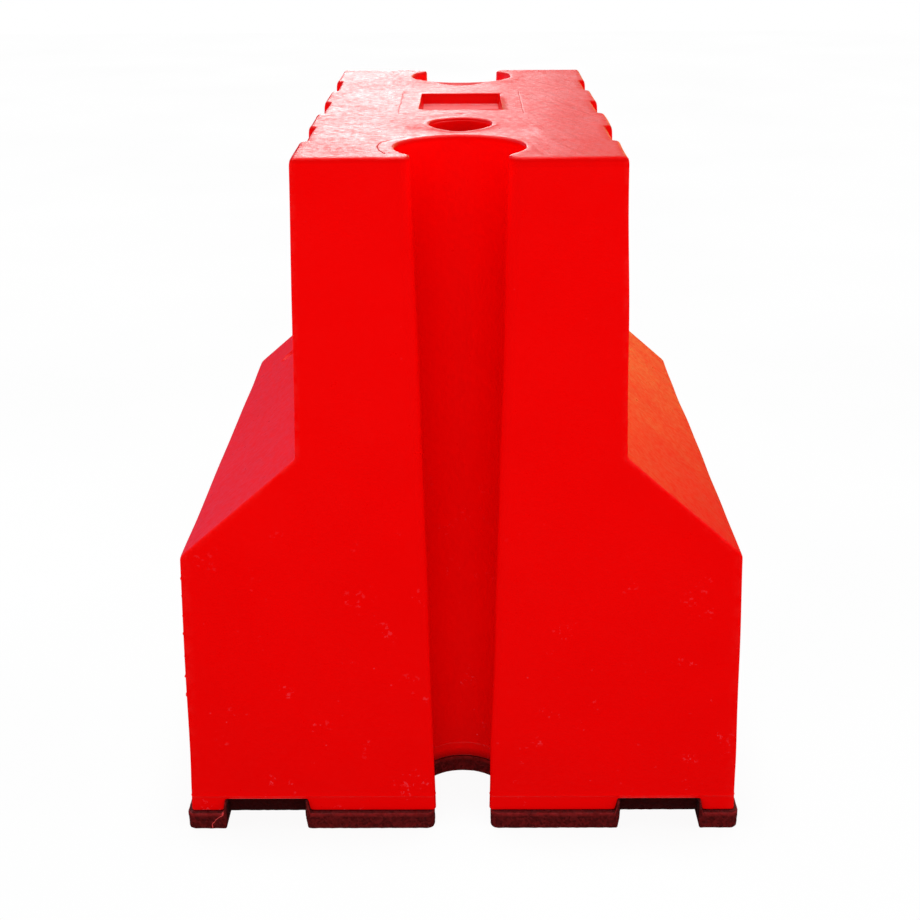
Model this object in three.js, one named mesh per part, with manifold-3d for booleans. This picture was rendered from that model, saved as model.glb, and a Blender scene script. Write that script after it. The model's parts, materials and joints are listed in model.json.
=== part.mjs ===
// Water-filled traffic barrier, short block: a hollow rotationally moulded polyethylene
// tank with a keyhole coupling socket in each end, standing on a rubber base pad that is
// bolted up into moulded-in inserts. The tank is filled through a sunk screw cap in the
// top and emptied through a sunk screw plug low in the right-hand side.
//
// Millimetres, +Z up. Origin: middle of the footprint, on the ground.
// X runs across the barrier, Y along it; the front end faces -Y.

import * as THREE from "three";
import { mergeVertices } from "three/addons/utils/BufferGeometryUtils.js";
import Module from "manifold-3d";

const wasm = await Module();
wasm.setup();
const { Manifold, Mesh } = wasm;

// ---------------------------------------------------------------- driving dimensions
const LENGTH = 680; // tank, end face to end face
const HEIGHT = 800; // ground to top deck
const WALL = 7; // moulded wall
const PAD_T = 22; // rubber base pad
const SEAT = 0.3; // gap kept between pieces that touch
const Z0 = PAD_T + SEAT; // underside of the tank
const HALF_TOP = 169; // half width at the top deck
const HALF_NECK = 180; // half width where the upper wall meets the slope
const Z_NECK = 477;
const HALF_SHOULDER = 312; // half width where the slope meets the lower wall
const Z_SHOULDER = 361;
const HALF_FOOT = 325; // half width at the underside of the tank

const PAD_OVER_X = 5; // pad stands out past the tank at the sides
const PAD_OVER_Y = 6; // and at the ends

// coupling socket in each end, all measured from the end face, at the ground and at the deck
const SOCKET_R = [57.4, 67.6];
const SOCKET_DEPTH = [55.6, 64.6]; // end face to socket axis
const MOUTH_HALF = [31.4, 49.5];

// shallow upright flutes in the upper side walls
const FLUTE_Y = [-197, -12, 177];
const FLUTE_HALF = 45; // half width of the floor
const FLUTE_FLANK = 6; // run of each flank
const FLUTE_DEEP = 7;
const FLUTE_FOOT = 505; // height at which the floor runs out

// shallow seat in the top deck
const DECK_SEAT = { x: 49.5, y0: -26, y1: 105, deep: 14, draft: 1.5 };

// two fork channels under the full length: half-widths about their own centre line, at the
// ground side and at the ceiling; the pad follows the tank's underside at its own thickness
const CHANNEL_X = 234.5;
const CHANNEL_RISE = 16;
const CHANNEL_TANK = [52.5, 49.5];
const CHANNEL_PAD = [49.5, 46.5];
const CHANNEL_BACK = 8; // the pad over a channel stops this far inside the end face

// shallow round-ended seat running up the left-hand slope
const SLOPE_SEAT = { x: -263, y: 216, half: 12, length: 62, deep: 4 };

// filler
const FILL_Y = -124;
const WELL_R = 35;
const WELL_LIP = 4;
const WELL_FLOOR = 770;

// drain
const DRAIN_Z = 74;
const DRAIN_R = 38;
const DRAIN_FLOOR = 298;

// pad fasteners, M8
const BOLTS = [
  [-304, -240],
  [304, -240],
  [-304, 240],
  [304, 240],
  [-140, -150],
  [140, -150],
  [-140, 150],
  [140, 150],
];

// ---------------------------------------------------------------- helpers
const solid = (geometry) => {
  const g = geometry.index ? geometry.toNonIndexed() : geometry.clone();
  g.deleteAttribute("normal");
  g.deleteAttribute("uv");
  const m = mergeVertices(g, 1e-3);
  return new Manifold(
    new Mesh({
      numProp: 3,
      vertProperties: new Float32Array(m.attributes.position.array),
      triVerts: new Uint32Array(m.index.array),
    }),
  );
};

const geometryOf = (manifold) => {
  const m = manifold.getMesh();
  const v = new Float32Array(m.numVert * 3);
  for (let i = 0; i < m.numVert; i++)
    v.set(m.vertProperties.subarray(i * m.numProp, i * m.numProp + 3), i * 3);
  const g = new THREE.BufferGeometry();
  g.setAttribute("position", new THREE.BufferAttribute(v, 3));
  g.setIndex(new THREE.BufferAttribute(new Uint32Array(m.triVerts), 1));
  g.computeVertexNormals();
  return g;
};

// Closed solid through stacked outlines with equal point counts, each [[x, y], ...] at height z.
const loft = (outlines, heights) => {
  const n = outlines[0].length;
  const flip = THREE.ShapeUtils.isClockWise(outlines[0].map(([x, y]) => new THREE.Vector2(x, y)));
  const rows = outlines.map((o) => (flip ? [...o].reverse() : o));
  const position = [];
  rows.forEach((o, k) => o.forEach(([x, y]) => position.push(x, y, heights[k])));
  const index = [];
  for (let k = 0; k < rows.length - 1; k++)
    for (let i = 0; i < n; i++) {
      const a = k * n + i,
        b = k * n + ((i + 1) % n),
        c = a + n,
        d = b + n;
      index.push(a, b, d, a, d, c);
    }
  const cap = (row, base, up) => {
    const tris = THREE.ShapeUtils.triangulateShape(
      row.map(([x, y]) => new THREE.Vector2(x, y)),
      [],
    );
    for (const [i, j, k] of tris) {
      if (up) index.push(base + i, base + j, base + k);
      else index.push(base + i, base + k, base + j);
    }
  };
  cap(rows[0], 0, false);
  cap(rows[rows.length - 1], (rows.length - 1) * n, true);
  const g = new THREE.BufferGeometry();
  g.setAttribute("position", new THREE.BufferAttribute(new Float32Array(position), 3));
  g.setIndex(index);
  return solid(g);
};

const lerp = (pair, z) => pair[0] + ((pair[1] - pair[0]) * z) / HEIGHT;

// Polygon with each corner rounded: corners are [x, y, radius].
const rounded = (corners, steps = 3) => {
  const out = [];
  const n = corners.length;
  corners.forEach(([x, y, r], i) => {
    if (!r) return out.push([x, y]);
    const p = new THREE.Vector2(x, y);
    const a = new THREE.Vector2(...corners[(i + n - 1) % n].slice(0, 2)).sub(p).normalize();
    const b = new THREE.Vector2(...corners[(i + 1) % n].slice(0, 2)).sub(p).normalize();
    const half = Math.acos(THREE.MathUtils.clamp(a.dot(b), -1, 1)) / 2;
    const reach = r / Math.tan(half);
    const start = p.clone().addScaledVector(a, reach);
    const end = p.clone().addScaledVector(b, reach);
    const centre = p.clone().addScaledVector(a.clone().add(b).normalize(), r / Math.sin(half));
    const a0 = Math.atan2(start.y - centre.y, start.x - centre.x);
    let turn = Math.atan2(end.y - centre.y, end.x - centre.x) - a0;
    while (turn > Math.PI) turn -= 2 * Math.PI;
    while (turn < -Math.PI) turn += 2 * Math.PI;
    for (let s = 0; s <= steps; s++) {
      const t = a0 + (turn * s) / steps;
      out.push([centre.x + r * Math.cos(t), centre.y + r * Math.sin(t)]);
    }
  });
  return out;
};

const shapeOf = (points) => new THREE.Shape(points.map(([x, y]) => new THREE.Vector2(x, y)));

// Upright cylinder between two heights.
const post = (x, y, r, z0, z1, segments = 24, r1 = r) =>
  solid(
    new THREE.CylinderGeometry(r1, r, z1 - z0, segments)
      .rotateX(Math.PI / 2)
      .translate(x, y, (z0 + z1) / 2),
  );
// Cylinder along X between two stations.
const bar = (x0, x1, y, z, r, segments = 32, r1 = r) =>
  solid(
    new THREE.CylinderGeometry(r, r1, x1 - x0, segments)
      .rotateZ(Math.PI / 2)
      .translate((x0 + x1) / 2, y, z),
  );
const block = (x0, x1, y0, y1, z0, z1) =>
  solid(
    new THREE.BoxGeometry(x1 - x0, y1 - y0, z1 - z0).translate(
      (x0 + x1) / 2,
      (y0 + y1) / 2,
      (z0 + z1) / 2,
    ),
  );

// Outline of a coupling socket at height z: end face, rounded lip, socket wall, lip, end face.
// grow opens it by that much; face is how far the end face stands out past the tank's.
const socketOutline = (z, { grow = 0, face = 0, mouth = lerp(MOUTH_HALF, z), lipSteps = 5, wallSteps = 20 } = {}) => {
  const R = lerp(SOCKET_R, z) + grow;
  const D = lerp(SOCKET_DEPTH, z) + face;
  const w = mouth + grow;
  const b = 2 * (w - D - R),
    c = w * w + D * D - R * R;
  const lip = (-b - Math.sqrt(b * b - 4 * c)) / 2; // radius of the lip, tangent to face and wall
  const lx = w + lip,
    ly = lip;
  const meet = Math.atan2(D - ly, -lx); // from lip centre towards socket centre
  const right = [[lx, -60]];
  for (let i = 0; i <= lipSteps; i++) {
    const t = -Math.PI / 2 + ((meet - 2 * Math.PI + Math.PI / 2) * i) / lipSteps;
    right.push([lx + lip * Math.cos(t), ly + lip * Math.sin(t)]);
  }
  const a0 = Math.atan2(ly - D, lx); // socket wall starts here on the right
  const wall = [];
  for (let i = 1; i < wallSteps; i++) {
    const t = a0 + ((Math.PI - 2 * a0) * i) / wallSteps;
    wall.push([R * Math.cos(t), D + R * Math.sin(t)]);
  }
  const left = right.map(([x, y]) => [-x, y]).reverse();
  return [...right, ...wall, ...left].map(([x, y]) => [x, y - face]);
};
// The same socket at the front end (depth 0 at y = -LENGTH / 2).
const socket = (z0, z1, options = {}, rows = 3) => {
  const heights = [...Array(rows).keys()].map((k) => z0 + ((z1 - z0) * k) / (rows - 1));
  return loft(
    heights.map((z) => socketOutline(z, options).map(([x, y]) => [x, y - LENGTH / 2])),
    heights,
  );
};
const toRear = (m) => m.rotate([0, 0, 180]);

// ---------------------------------------------------------------- tank
// Cross-section, seen from the front, inset by t.
const section = (t) => {
  const lower = Math.atan2(HALF_FOOT - HALF_SHOULDER, Z_SHOULDER - Z0);
  const upper = Math.atan2(HALF_NECK - HALF_TOP, HEIGHT - Z_NECK);
  const slope = Math.atan2(Z_NECK - Z_SHOULDER, HALF_SHOULDER - HALF_NECK);
  const foot = HALF_FOOT - t / Math.cos(lower) - t * Math.tan(lower);
  // each corner moves in along the bisector of its two walls
  const move = (x, z, n1, n2) => {
    const d = 1 + n1[0] * n2[0] + n1[1] * n2[1];
    return [x - (t * (n1[0] + n2[0])) / d, z - (t * (n1[1] + n2[1])) / d];
  };
  const nL = [Math.cos(lower), Math.sin(lower)],
    nS = [Math.sin(slope), Math.cos(slope)],
    nU = [Math.cos(upper), Math.sin(upper)];
  const shoulder = move(HALF_SHOULDER, Z_SHOULDER, nL, nS);
  const neck = move(HALF_NECK, Z_NECK, nS, nU);
  const top = move(HALF_TOP, HEIGHT, nU, [0, 1]);
  const r = (v) => Math.max(2, v - t);
  const half = [
    [foot, Z0 + t, r(5)],
    [...shoulder, r(9)],
    [...neck, 6 + t / 2],
    [...top, r(6)],
  ];
  return rounded([...half, ...half.map(([x, z, q]) => [-x, z, q]).reverse()], 3);
};

const prism = (t, rim) => {
  const length = LENGTH - 2 * t;
  const g = new THREE.ExtrudeGeometry(shapeOf(section(t)), {
    depth: length - 2 * rim,
    bevelEnabled: rim > 0,
    bevelThickness: rim,
    bevelSize: rim,
    bevelOffset: -rim,
    bevelSegments: 2,
    steps: 1,
  });
  return solid(g.rotateX(Math.PI / 2).translate(0, (length - 2 * rim) / 2, 0));
};

// A flute cutter on the right-hand wall, leaned with the wall; t moves its faces inwards.
const fluteCutter = (y, t) => {
  const slant = (HALF_NECK - HALF_TOP) / (HEIGHT - Z_NECK);
  const f = FLUTE_HALF + t * 0.6;
  const run = FLUTE_FLANK;
  const plan = (z, deep, out) =>
    [
      [30, -f - run - 8],
      [0, -f - run],
      [-0.3 * deep, -f - run * 0.7],
      [-0.82 * deep, -f - run * 0.2],
      [-deep, -f + 3],
      [-deep, f - 3],
      [-0.82 * deep, f + run * 0.2],
      [-0.3 * deep, f + run * 0.7],
      [0, f + run],
      [30, f + run + 8],
    ].map(([x, dy]) => [x + out + HALF_TOP + (HEIGHT - z) * slant, y + dy]);
  const deep = FLUTE_DEEP + t;
  const foot = FLUTE_FOOT - t;
  // the floor runs out to the wall over the last 22 mm
  const rows = [
    [foot - 22, 2, 4],
    [foot, deep, 0],
    [HEIGHT + 20, deep, 0],
  ];
  return loft(
    rows.map(([z, d, out]) => plan(z, d, out)),
    rows.map(([z]) => z),
  );
};
const mirrorX = (m) => m.mirror([1, 0, 0]);

// Prism along Y with a section given in X and Z, from -half to half in Y.
const alongY = (points, half) =>
  solid(
    new THREE.ExtrudeGeometry(shapeOf(points), { depth: 2 * half, bevelEnabled: false })
      .rotateX(Math.PI / 2)
      .translate(0, half, 0),
  );
const channelCutter = (side, [low, high], z0, z1) => {
  // the slanted walls carry on below z0
  const drop = 20;
  const wide = low + ((low - high) / (z1 - z0)) * drop;
  return alongY(
    [
      [side * CHANNEL_X - wide, z0 - drop],
      [side * CHANNEL_X + wide, z0 - drop],
      [side * CHANNEL_X + high, z1],
      [side * CHANNEL_X - high, z1],
    ],
    LENGTH / 2 + 50,
  );
};

let tank = prism(0, 4);
for (const y of FLUTE_Y) {
  const right = fluteCutter(y, 0);
  tank = tank.subtract(right).subtract(mirrorX(right));
}
const socketCut = socket(-8, HEIGHT + 12);
tank = tank.subtract(socketCut).subtract(toRear(socketCut));
for (const side of [-1, 1])
  tank = tank.subtract(channelCutter(side, CHANNEL_TANK, Z0, Z0 + CHANNEL_RISE));

const seatCutter = (t) => {
  const s = DECK_SEAT;
  const plan = (g) =>
    rounded(
      [
        [s.x + g, s.y0 - g, 5],
        [s.x + g, s.y1 + g, 5],
        [-s.x - g, s.y1 + g, 5],
        [-s.x - g, s.y0 - g, 5],
      ],
      2,
    );
  const floor = HEIGHT - s.deep - t;
  return loft([plan(t - s.draft), plan(t), plan(t)], [floor, HEIGHT, HEIGHT + 20]);
};
tank = tank.subtract(seatCutter(0));
tank = tank.subtract(post(0, FILL_Y, WELL_R, WELL_FLOOR, HEIGHT + 10, 40));
tank = tank.subtract(post(0, FILL_Y, WELL_R, HEIGHT - WELL_LIP, HEIGHT + 0.01, 40, WELL_R + WELL_LIP));
tank = tank.subtract(bar(DRAIN_FLOOR, HALF_FOOT + 20, 0, DRAIN_Z, DRAIN_R, 36));

// grow makes the seat's cutter wider and deeper, for the wall behind it
const slopeSeat = (grow) => {
  const s = SLOPE_SEAT;
  const run = HALF_SHOULDER - HALF_NECK,
    rise = Z_NECK - Z_SHOULDER;
  const r = s.half + grow;
  const shape = new THREE.Shape();
  shape.absarc(s.half, 0, r, Math.PI / 2, (3 * Math.PI) / 2, false);
  shape.absarc(s.length - s.half, 0, r, -Math.PI / 2, Math.PI / 2, false);
  return solid(
    new THREE.ExtrudeGeometry(shape, {
      depth: s.deep + grow + 15,
      bevelEnabled: false,
      curveSegments: 8,
    })
      .translate(0, 0, -s.deep - grow)
      .rotateY(-Math.atan2(rise, run))
      .translate(s.x, s.y, Z_SHOULDER + ((s.x + HALF_SHOULDER) * rise) / run),
  );
};
tank = tank.subtract(slopeSeat(0));

// water space
let cavity = prism(WALL, 0);
for (const y of FLUTE_Y) {
  const right = fluteCutter(y, WALL);
  cavity = cavity.subtract(right).subtract(mirrorX(right));
}
const coreOutline = (z) => {
  const R = lerp(SOCKET_R, z) + WALL,
    D = lerp(SOCKET_DEPTH, z);
  const w = Math.min(lerp(MOUTH_HALF, z) + 15, R - 4);
  const a0 = Math.asin((-Math.sqrt(R * R - w * w)) / R);
  const pts = [[w, -30]];
  const steps = 20;
  for (let i = 0; i <= steps; i++) {
    const t = a0 + ((Math.PI - 2 * a0) * i) / steps;
    pts.push([R * Math.cos(t), D + R * Math.sin(t)]);
  }
  pts.push([-w, -30]);
  return pts.map(([x, y]) => [x, y - LENGTH / 2]);
};
const coreHeights = [0, HEIGHT / 2, HEIGHT + 12];
const core = loft(coreHeights.map(coreOutline), coreHeights);
cavity = cavity.subtract(core).subtract(toRear(core));
for (const side of [-1, 1])
  cavity = cavity.subtract(
    channelCutter(
      side,
      CHANNEL_TANK.map((w) => w + WALL),
      Z0,
      Z0 + CHANNEL_RISE + WALL,
    ),
  );
cavity = cavity.subtract(seatCutter(WALL));
cavity = cavity.subtract(post(0, FILL_Y, WELL_R + WALL, WELL_FLOOR - WALL, HEIGHT + 10, 32));
cavity = cavity.subtract(bar(DRAIN_FLOOR - WALL, HALF_FOOT + 20, 0, DRAIN_Z, DRAIN_R + WALL, 28));
cavity = cavity.subtract(slopeSeat(WALL - 2));
for (const [x, y] of BOLTS) cavity = cavity.subtract(post(x, y, 16, Z0 - 5, 58, 16, 14));
tank = tank.subtract(cavity);
tank = tank.subtract(post(0, FILL_Y, 31, WELL_FLOOR - 20, WELL_FLOOR + 5, 32)); // seat of the filler neck
tank = tank.subtract(bar(DRAIN_FLOOR - 15, DRAIN_FLOOR + 5, 0, DRAIN_Z, 21, 28)); // seat of the drain bush
for (const [x, y] of BOLTS) tank = tank.subtract(post(x, y, 10, Z0 - 5, 50.3, 18));
// ---------------------------------------------------------------- base pad
const padOutline = rounded(
  [
    [HALF_FOOT + PAD_OVER_X, -LENGTH / 2 - PAD_OVER_Y, 10],
    [HALF_FOOT + PAD_OVER_X, LENGTH / 2 + PAD_OVER_Y, 10],
    [-HALF_FOOT - PAD_OVER_X, LENGTH / 2 + PAD_OVER_Y, 10],
    [-HALF_FOOT - PAD_OVER_X, -LENGTH / 2 - PAD_OVER_Y, 10],
  ],
  4,
);
// a flat mat stepped up over the two channels, then trimmed to the rounded outline
let pad = solid(
  new THREE.ExtrudeGeometry(shapeOf(padOutline), {
    depth: PAD_T + CHANNEL_RISE - 2,
    bevelEnabled: true,
    bevelThickness: 2,
    bevelSize: 2,
    bevelOffset: -2,
    bevelSegments: 1,
  }).translate(0, 0, 2),
);
// top: everything above the mat's upper face, which tucks into the tank's channels
{
  const edge = HALF_FOOT + PAD_OVER_X + 20;
  const [low, high] = CHANNEL_TANK.map((w) => w - SEAT - 0.2);
  const top = PAD_T,
    raised = PAD_T + CHANNEL_RISE;
  const half = [
    [CHANNEL_X - low, top],
    [CHANNEL_X - high, raised],
    [CHANNEL_X + high, raised],
    [CHANNEL_X + low, top],
    [edge, top],
  ];
  const above = [
    ...half.map(([x, z]) => [-x, z]).reverse(),
    ...half,
    [edge, raised + 30],
    [-edge, raised + 30],
  ];
  pad = pad.subtract(alongY(above, LENGTH / 2 + 50));
}
for (const side of [-1, 1]) {
  pad = pad.subtract(channelCutter(side, CHANNEL_PAD, 0, CHANNEL_RISE));
  const x0 = side * CHANNEL_X - CHANNEL_PAD[1],
    x1 = side * CHANNEL_X + CHANNEL_PAD[1],
    back = LENGTH / 2 - CHANNEL_BACK;
  pad = pad.subtract(block(x0, x1, -LENGTH, -back, -5, 60)).subtract(block(x0, x1, back, LENGTH, -5, 60));
}
const padSocketRow = socketOutline(0, {
  grow: -0.4,
  face: PAD_OVER_Y,
  mouth: lerp(MOUTH_HALF, 0) + 2,
}).map(([x, y]) => [x, y - LENGTH / 2]);
const padSocket = loft([padSocketRow, padSocketRow], [-10, PAD_T + 30]);
pad = pad.subtract(padSocket).subtract(toRear(padSocket));
for (const [x, y] of BOLTS) {
  pad = pad.subtract(post(x, y, 14, -5, 9, 20));
  pad = pad.subtract(post(x, y, 5.5, 5, PAD_T + 5, 12));
}

// ---------------------------------------------------------------- filler
// Threaded neck moulded into the floor of the well, with a flange under it. Its thread is
// 6 mm in pitch, so three turns lift the cap 18 mm and free it.
const lathe = (profile, segments = 40) =>
  new THREE.LatheGeometry(
    profile.map(([r, z]) => new THREE.Vector2(r, z)),
    segments,
  ).rotateX(Math.PI / 2);
const turnedUp = (profile, segments) => solid(lathe(profile, segments)).translate([0, FILL_Y, 0]);
const neck = turnedUp([
  [27.5, 752],
  [36, 752],
  [36, 762.7],
  [30.7, 762.7],
  [30.7, 772],
  [27.5, 772],
  [27.5, 752],
]);
const fillGasket = turnedUp([
  [26.6, 772.3],
  [31.8, 772.3],
  [31.8, 775.3],
  [26.6, 775.3],
  [26.6, 772.3],
]);
let fillCap = turnedUp([
  [0, 754],
  [24, 754],
  [25.8, 756],
  [25.8, 775.6],
  [32.5, 775.6],
  [32.5, 779.5],
  [31, 781],
  [0, 781],
]);
// recess in the cap's crown, crossed by a grip bar
fillCap = fillCap
  .subtract(
    turnedUp([
      [0, 762],
      [20, 762],
      [22, 782],
      [0, 782],
    ], 32),
  )
  .add(block(-22.5, 22.5, FILL_Y - 4, FILL_Y + 4, 760, 782));

// ---------------------------------------------------------------- drain
// Brass bush moulded into the side of the tank and a screw plug in it. The thread is 3 mm in
// pitch: six turns back the plug out 18 mm and free it.
const turnedOut = (profile, segments = 32) =>
  solid(
    new THREE.LatheGeometry(
      profile.map(([r, x]) => new THREE.Vector2(r, x)),
      segments,
    ).rotateZ(-Math.PI / 2),
  ).translate([0, 0, DRAIN_Z]);
const F = DRAIN_FLOOR;
const bush = turnedOut([
  [16.5, F - 18],
  [26, F - 18],
  [26, F - 7.3],
  [20.7, F - 7.3],
  [20.7, F + 2],
  [16.5, F + 2],
  [16.5, F - 18],
]);
const drainGasket = turnedOut([
  [15.6, F + 2.3],
  [22, F + 2.3],
  [22, F + 5.3],
  [15.6, F + 5.3],
  [15.6, F + 2.3],
]);
const drainPlug = turnedOut([
  [0, F - 15],
  [13.5, F - 15],
  [15, F - 13],
  [15, F + 5.6],
  [24, F + 5.6],
  [24, F + 10],
  [22.5, F + 11.5],
  [0, F + 11.5],
]).add(
  solid(
    new THREE.CylinderGeometry(11.5, 12.5, 12, 6)
      .rotateZ(-Math.PI / 2)
      .translate(F + 16, 0, DRAIN_Z),
  ),
);

// ---------------------------------------------------------------- pad fasteners
// Blind brass insert in the tank's floor, washer and hexagon-head bolt sunk in the pad.
const insertAt = (x, y) =>
  post(x, y, 9.7, Z0 + 0.4, 50, 18).subtract(post(x, y, 4.3, Z0 - 2, 47, 12));
const washerAt = (x, y) => post(x, y, 12, 6.7, 8.7, 20).subtract(post(x, y, 4.5, 5, 10, 12));
const boltAt = (x, y) => post(x, y, 7.5, 1.1, 6.4, 6).add(post(x, y, 4, 6, 44, 12));

// ---------------------------------------------------------------- scene graph
const material = (color, roughness, metalness = 0) =>
  new THREE.MeshStandardMaterial({ color, roughness, metalness });
const RED = material(0xd80b08, 0.42);
const RUBBER = material(0x33100f, 0.85);
const BLACK_PLASTIC = material(0x161616, 0.5);
const SEAL = material(0x0d0d0d, 0.8);
const BRASS = material(0xb08d4a, 0.35, 1);
const STEEL = material(0xa7a9ab, 0.35, 1);

const barrier = new THREE.Group();
const add = (name, shape, look, parent = barrier) => {
  const mesh = new THREE.Mesh(geometryOf(shape), look);
  mesh.name = name;
  parent.add(mesh);
  return mesh;
};

add("tank_shell", tank, RED);
add("base_pad", pad, RUBBER);

const filler = new THREE.Group();
barrier.add(filler);
add("filler_neck", neck, BLACK_PLASTIC, filler);
add("filler_gasket", fillGasket, SEAL, filler);
add("filler_cap", fillCap, BLACK_PLASTIC, filler);

const drain = new THREE.Group();
barrier.add(drain);
add("drain_bush", bush, BRASS, drain);
add("drain_gasket", drainGasket, SEAL, drain);
add("drain_plug", drainPlug, BLACK_PLASTIC, drain);

const fixings = new THREE.Group();
barrier.add(fixings);
BOLTS.forEach(([x, y], i) => {
  add(`pad_insert_${i + 1}`, insertAt(x, y), BRASS, fixings);
  add(`pad_washer_${i + 1}`, washerAt(x, y), STEEL, fixings);
  add(`pad_bolt_${i + 1}`, boltAt(x, y), STEEL, fixings);
});

export default barrier;
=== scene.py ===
import json
import math

import bpy
import numpy as np
from mathutils import Matrix, Vector
from mathutils.geometry import delaunay_2d_cdt

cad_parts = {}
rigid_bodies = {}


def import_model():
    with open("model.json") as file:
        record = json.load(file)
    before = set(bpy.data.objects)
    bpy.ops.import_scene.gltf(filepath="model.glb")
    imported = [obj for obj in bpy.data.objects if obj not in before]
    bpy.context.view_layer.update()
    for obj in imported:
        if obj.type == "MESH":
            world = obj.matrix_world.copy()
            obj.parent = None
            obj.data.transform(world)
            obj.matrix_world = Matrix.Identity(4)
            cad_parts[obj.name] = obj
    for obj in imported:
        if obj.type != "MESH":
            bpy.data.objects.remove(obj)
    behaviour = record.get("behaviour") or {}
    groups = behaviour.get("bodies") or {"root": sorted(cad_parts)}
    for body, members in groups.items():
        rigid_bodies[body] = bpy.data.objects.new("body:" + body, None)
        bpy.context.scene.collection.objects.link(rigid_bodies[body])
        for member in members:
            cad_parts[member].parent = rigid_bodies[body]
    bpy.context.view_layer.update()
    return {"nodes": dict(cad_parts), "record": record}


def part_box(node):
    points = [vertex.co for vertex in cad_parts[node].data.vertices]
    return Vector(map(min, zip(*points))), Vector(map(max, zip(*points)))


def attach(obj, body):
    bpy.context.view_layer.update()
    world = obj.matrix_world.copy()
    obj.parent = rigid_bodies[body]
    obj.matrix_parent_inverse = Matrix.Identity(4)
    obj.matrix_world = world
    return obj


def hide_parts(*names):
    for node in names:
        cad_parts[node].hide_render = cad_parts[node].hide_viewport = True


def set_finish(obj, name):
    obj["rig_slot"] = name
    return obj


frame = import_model()

MM = 0.001
tank_lo, tank_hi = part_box("tank_shell")
pad_lo, pad_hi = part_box("base_pad")
cap_lo, cap_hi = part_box("filler_cap")
neck_lo, neck_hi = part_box("filler_neck")
plug_lo, plug_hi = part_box("drain_plug")
bush_lo, bush_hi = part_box("drain_bush")

# ------------------------------------------------------------------ dimensions, millimetres
Z0 = tank_lo.z / MM
HEIGHT = tank_hi.z / MM
HALF_L = tank_hi.y / MM
HALF_FOOT, HALF_SHOULDER, HALF_NECK, HALF_TOP = 325.0, 312.0, 180.0, 169.0
Z_SHOULDER, Z_NECK = 361.0, 477.0
SOCKET_R = (57.4, 67.6)
SOCKET_D = (55.6, 64.6)
MOUTH = (31.4, 49.5)
CHANNEL_RISE = 16.0
FLUTE_Y = (-197.0, -12.0, 177.0)
FILL_Y = (cap_lo.y + cap_hi.y) / 2 / MM
DRAIN_Z = (plug_lo.z + plug_hi.z) / 2 / MM
DRAIN_FLOOR = 298.0
DECK_SEAT = dict(x=49.5, y0=-26.0, y1=105.0, deep=14.0)
SLOPE_SEAT = dict(x=-263.0, y=216.0, half=12.0, length=62.0, deep=4.0)
R_TOP = 3.2
R_FOOT = 2.2
R_CORNER = 4.0


def at_height(pair, z):
    return pair[0] + (pair[1] - pair[0]) * z / 800.0


def smooth(t):
    t = np.clip(t, 0.0, 1.0)
    return t * t * (3 - 2 * t)


def waves(seed, lengths, count):
    """A smooth field of about unit strength: sines in fixed random directions."""
    rng = np.random.default_rng(seed)
    d = rng.normal(size=(count, 3))
    d /= np.linalg.norm(d, axis=1)[:, None]
    k = d * (2 * np.pi / rng.uniform(*lengths, size=count))[:, None]
    p = rng.uniform(0, 2 * np.pi, size=count)

    def field(points):
        return np.sin(points @ k.T + p).sum(axis=1) * math.sqrt(2 / count)

    return field


wall_wave = waves(11, (110, 300), 14)
deck_wave = waves(12, (60, 190), 16)
crumb = waves(13, (3.5, 9), 24)
jag = waves(14, (2.5, 11), 18)


# ------------------------------------------------------------------ mesh building
class Builder:
    def __init__(self):
        self.parts, self.faces, self.count = [], [], 0

    def add(self, points):
        points = np.asarray(points, float).reshape(-1, 3)
        self.parts.append(points)
        start = self.count
        self.count += len(points)
        return np.arange(start, self.count)

    def quads(self, idx, closed=True, flip=False):
        """idx is rows by columns of vertex numbers; a closed grid joins its last column to its first."""
        nxt = np.roll(idx, -1, axis=1)
        a, b, c, d = idx[:-1], nxt[:-1], nxt[1:], idx[1:]
        q = np.stack([a, b, c, d], -1)
        if not closed:
            q = q[:, :-1]
        q = q.reshape(-1, 4)
        if flip:
            q = q[:, ::-1]
        self.faces.extend(q.tolist())

    def fan(self, idx, centre, flip=False):
        n = len(idx)
        for i in range(n):
            t = [int(idx[i]), int(idx[(i + 1) % n]), int(centre)]
            self.faces.append(t[::-1] if flip else t)

    @property
    def points(self):
        return np.concatenate(self.parts)

    def object(self, name, sharp=math.radians(40), attributes=None):
        me = bpy.data.meshes.new(name)
        me.from_pydata((self.points * MM).tolist(), [], self.faces)
        me.update()
        me.polygons.foreach_set("use_smooth", [True] * len(me.polygons))
        me.set_sharp_from_angle(angle=sharp)
        for key, values in (attributes or {}).items():
            layer = me.attributes.new(key, "FLOAT", "POINT")
            layer.data.foreach_set("value", np.asarray(values, np.float32))
        me.update()
        ob = bpy.data.objects.new(name, me)
        bpy.context.scene.collection.objects.link(ob)
        return ob


def inside(points, polygon):
    x, y = points[:, 0], points[:, 1]
    hit = np.zeros(len(points), bool)
    px, py = polygon[:, 0], polygon[:, 1]
    qx, qy = np.roll(px, -1), np.roll(py, -1)
    for x0, y0, x1, y1 in zip(px, py, qx, qy):
        cross = (y0 > y) != (y1 > y)
        with np.errstate(divide="ignore", invalid="ignore"):
            t = (x1 - x0) * (y - y0) / (y1 - y0) + x0
        hit ^= cross & (x < t)
    return hit


def distance_to(points, polygon):
    a = polygon
    b = np.roll(polygon, -1, axis=0)
    best = np.full(len(points), 1e9)
    for p, q in zip(a, b):
        d = q - p
        t = np.clip(((points - p) @ d) / max(d @ d, 1e-12), 0, 1)
        best = np.minimum(best, np.linalg.norm(points - p - t[:, None] * d, axis=1))
    return best


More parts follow.
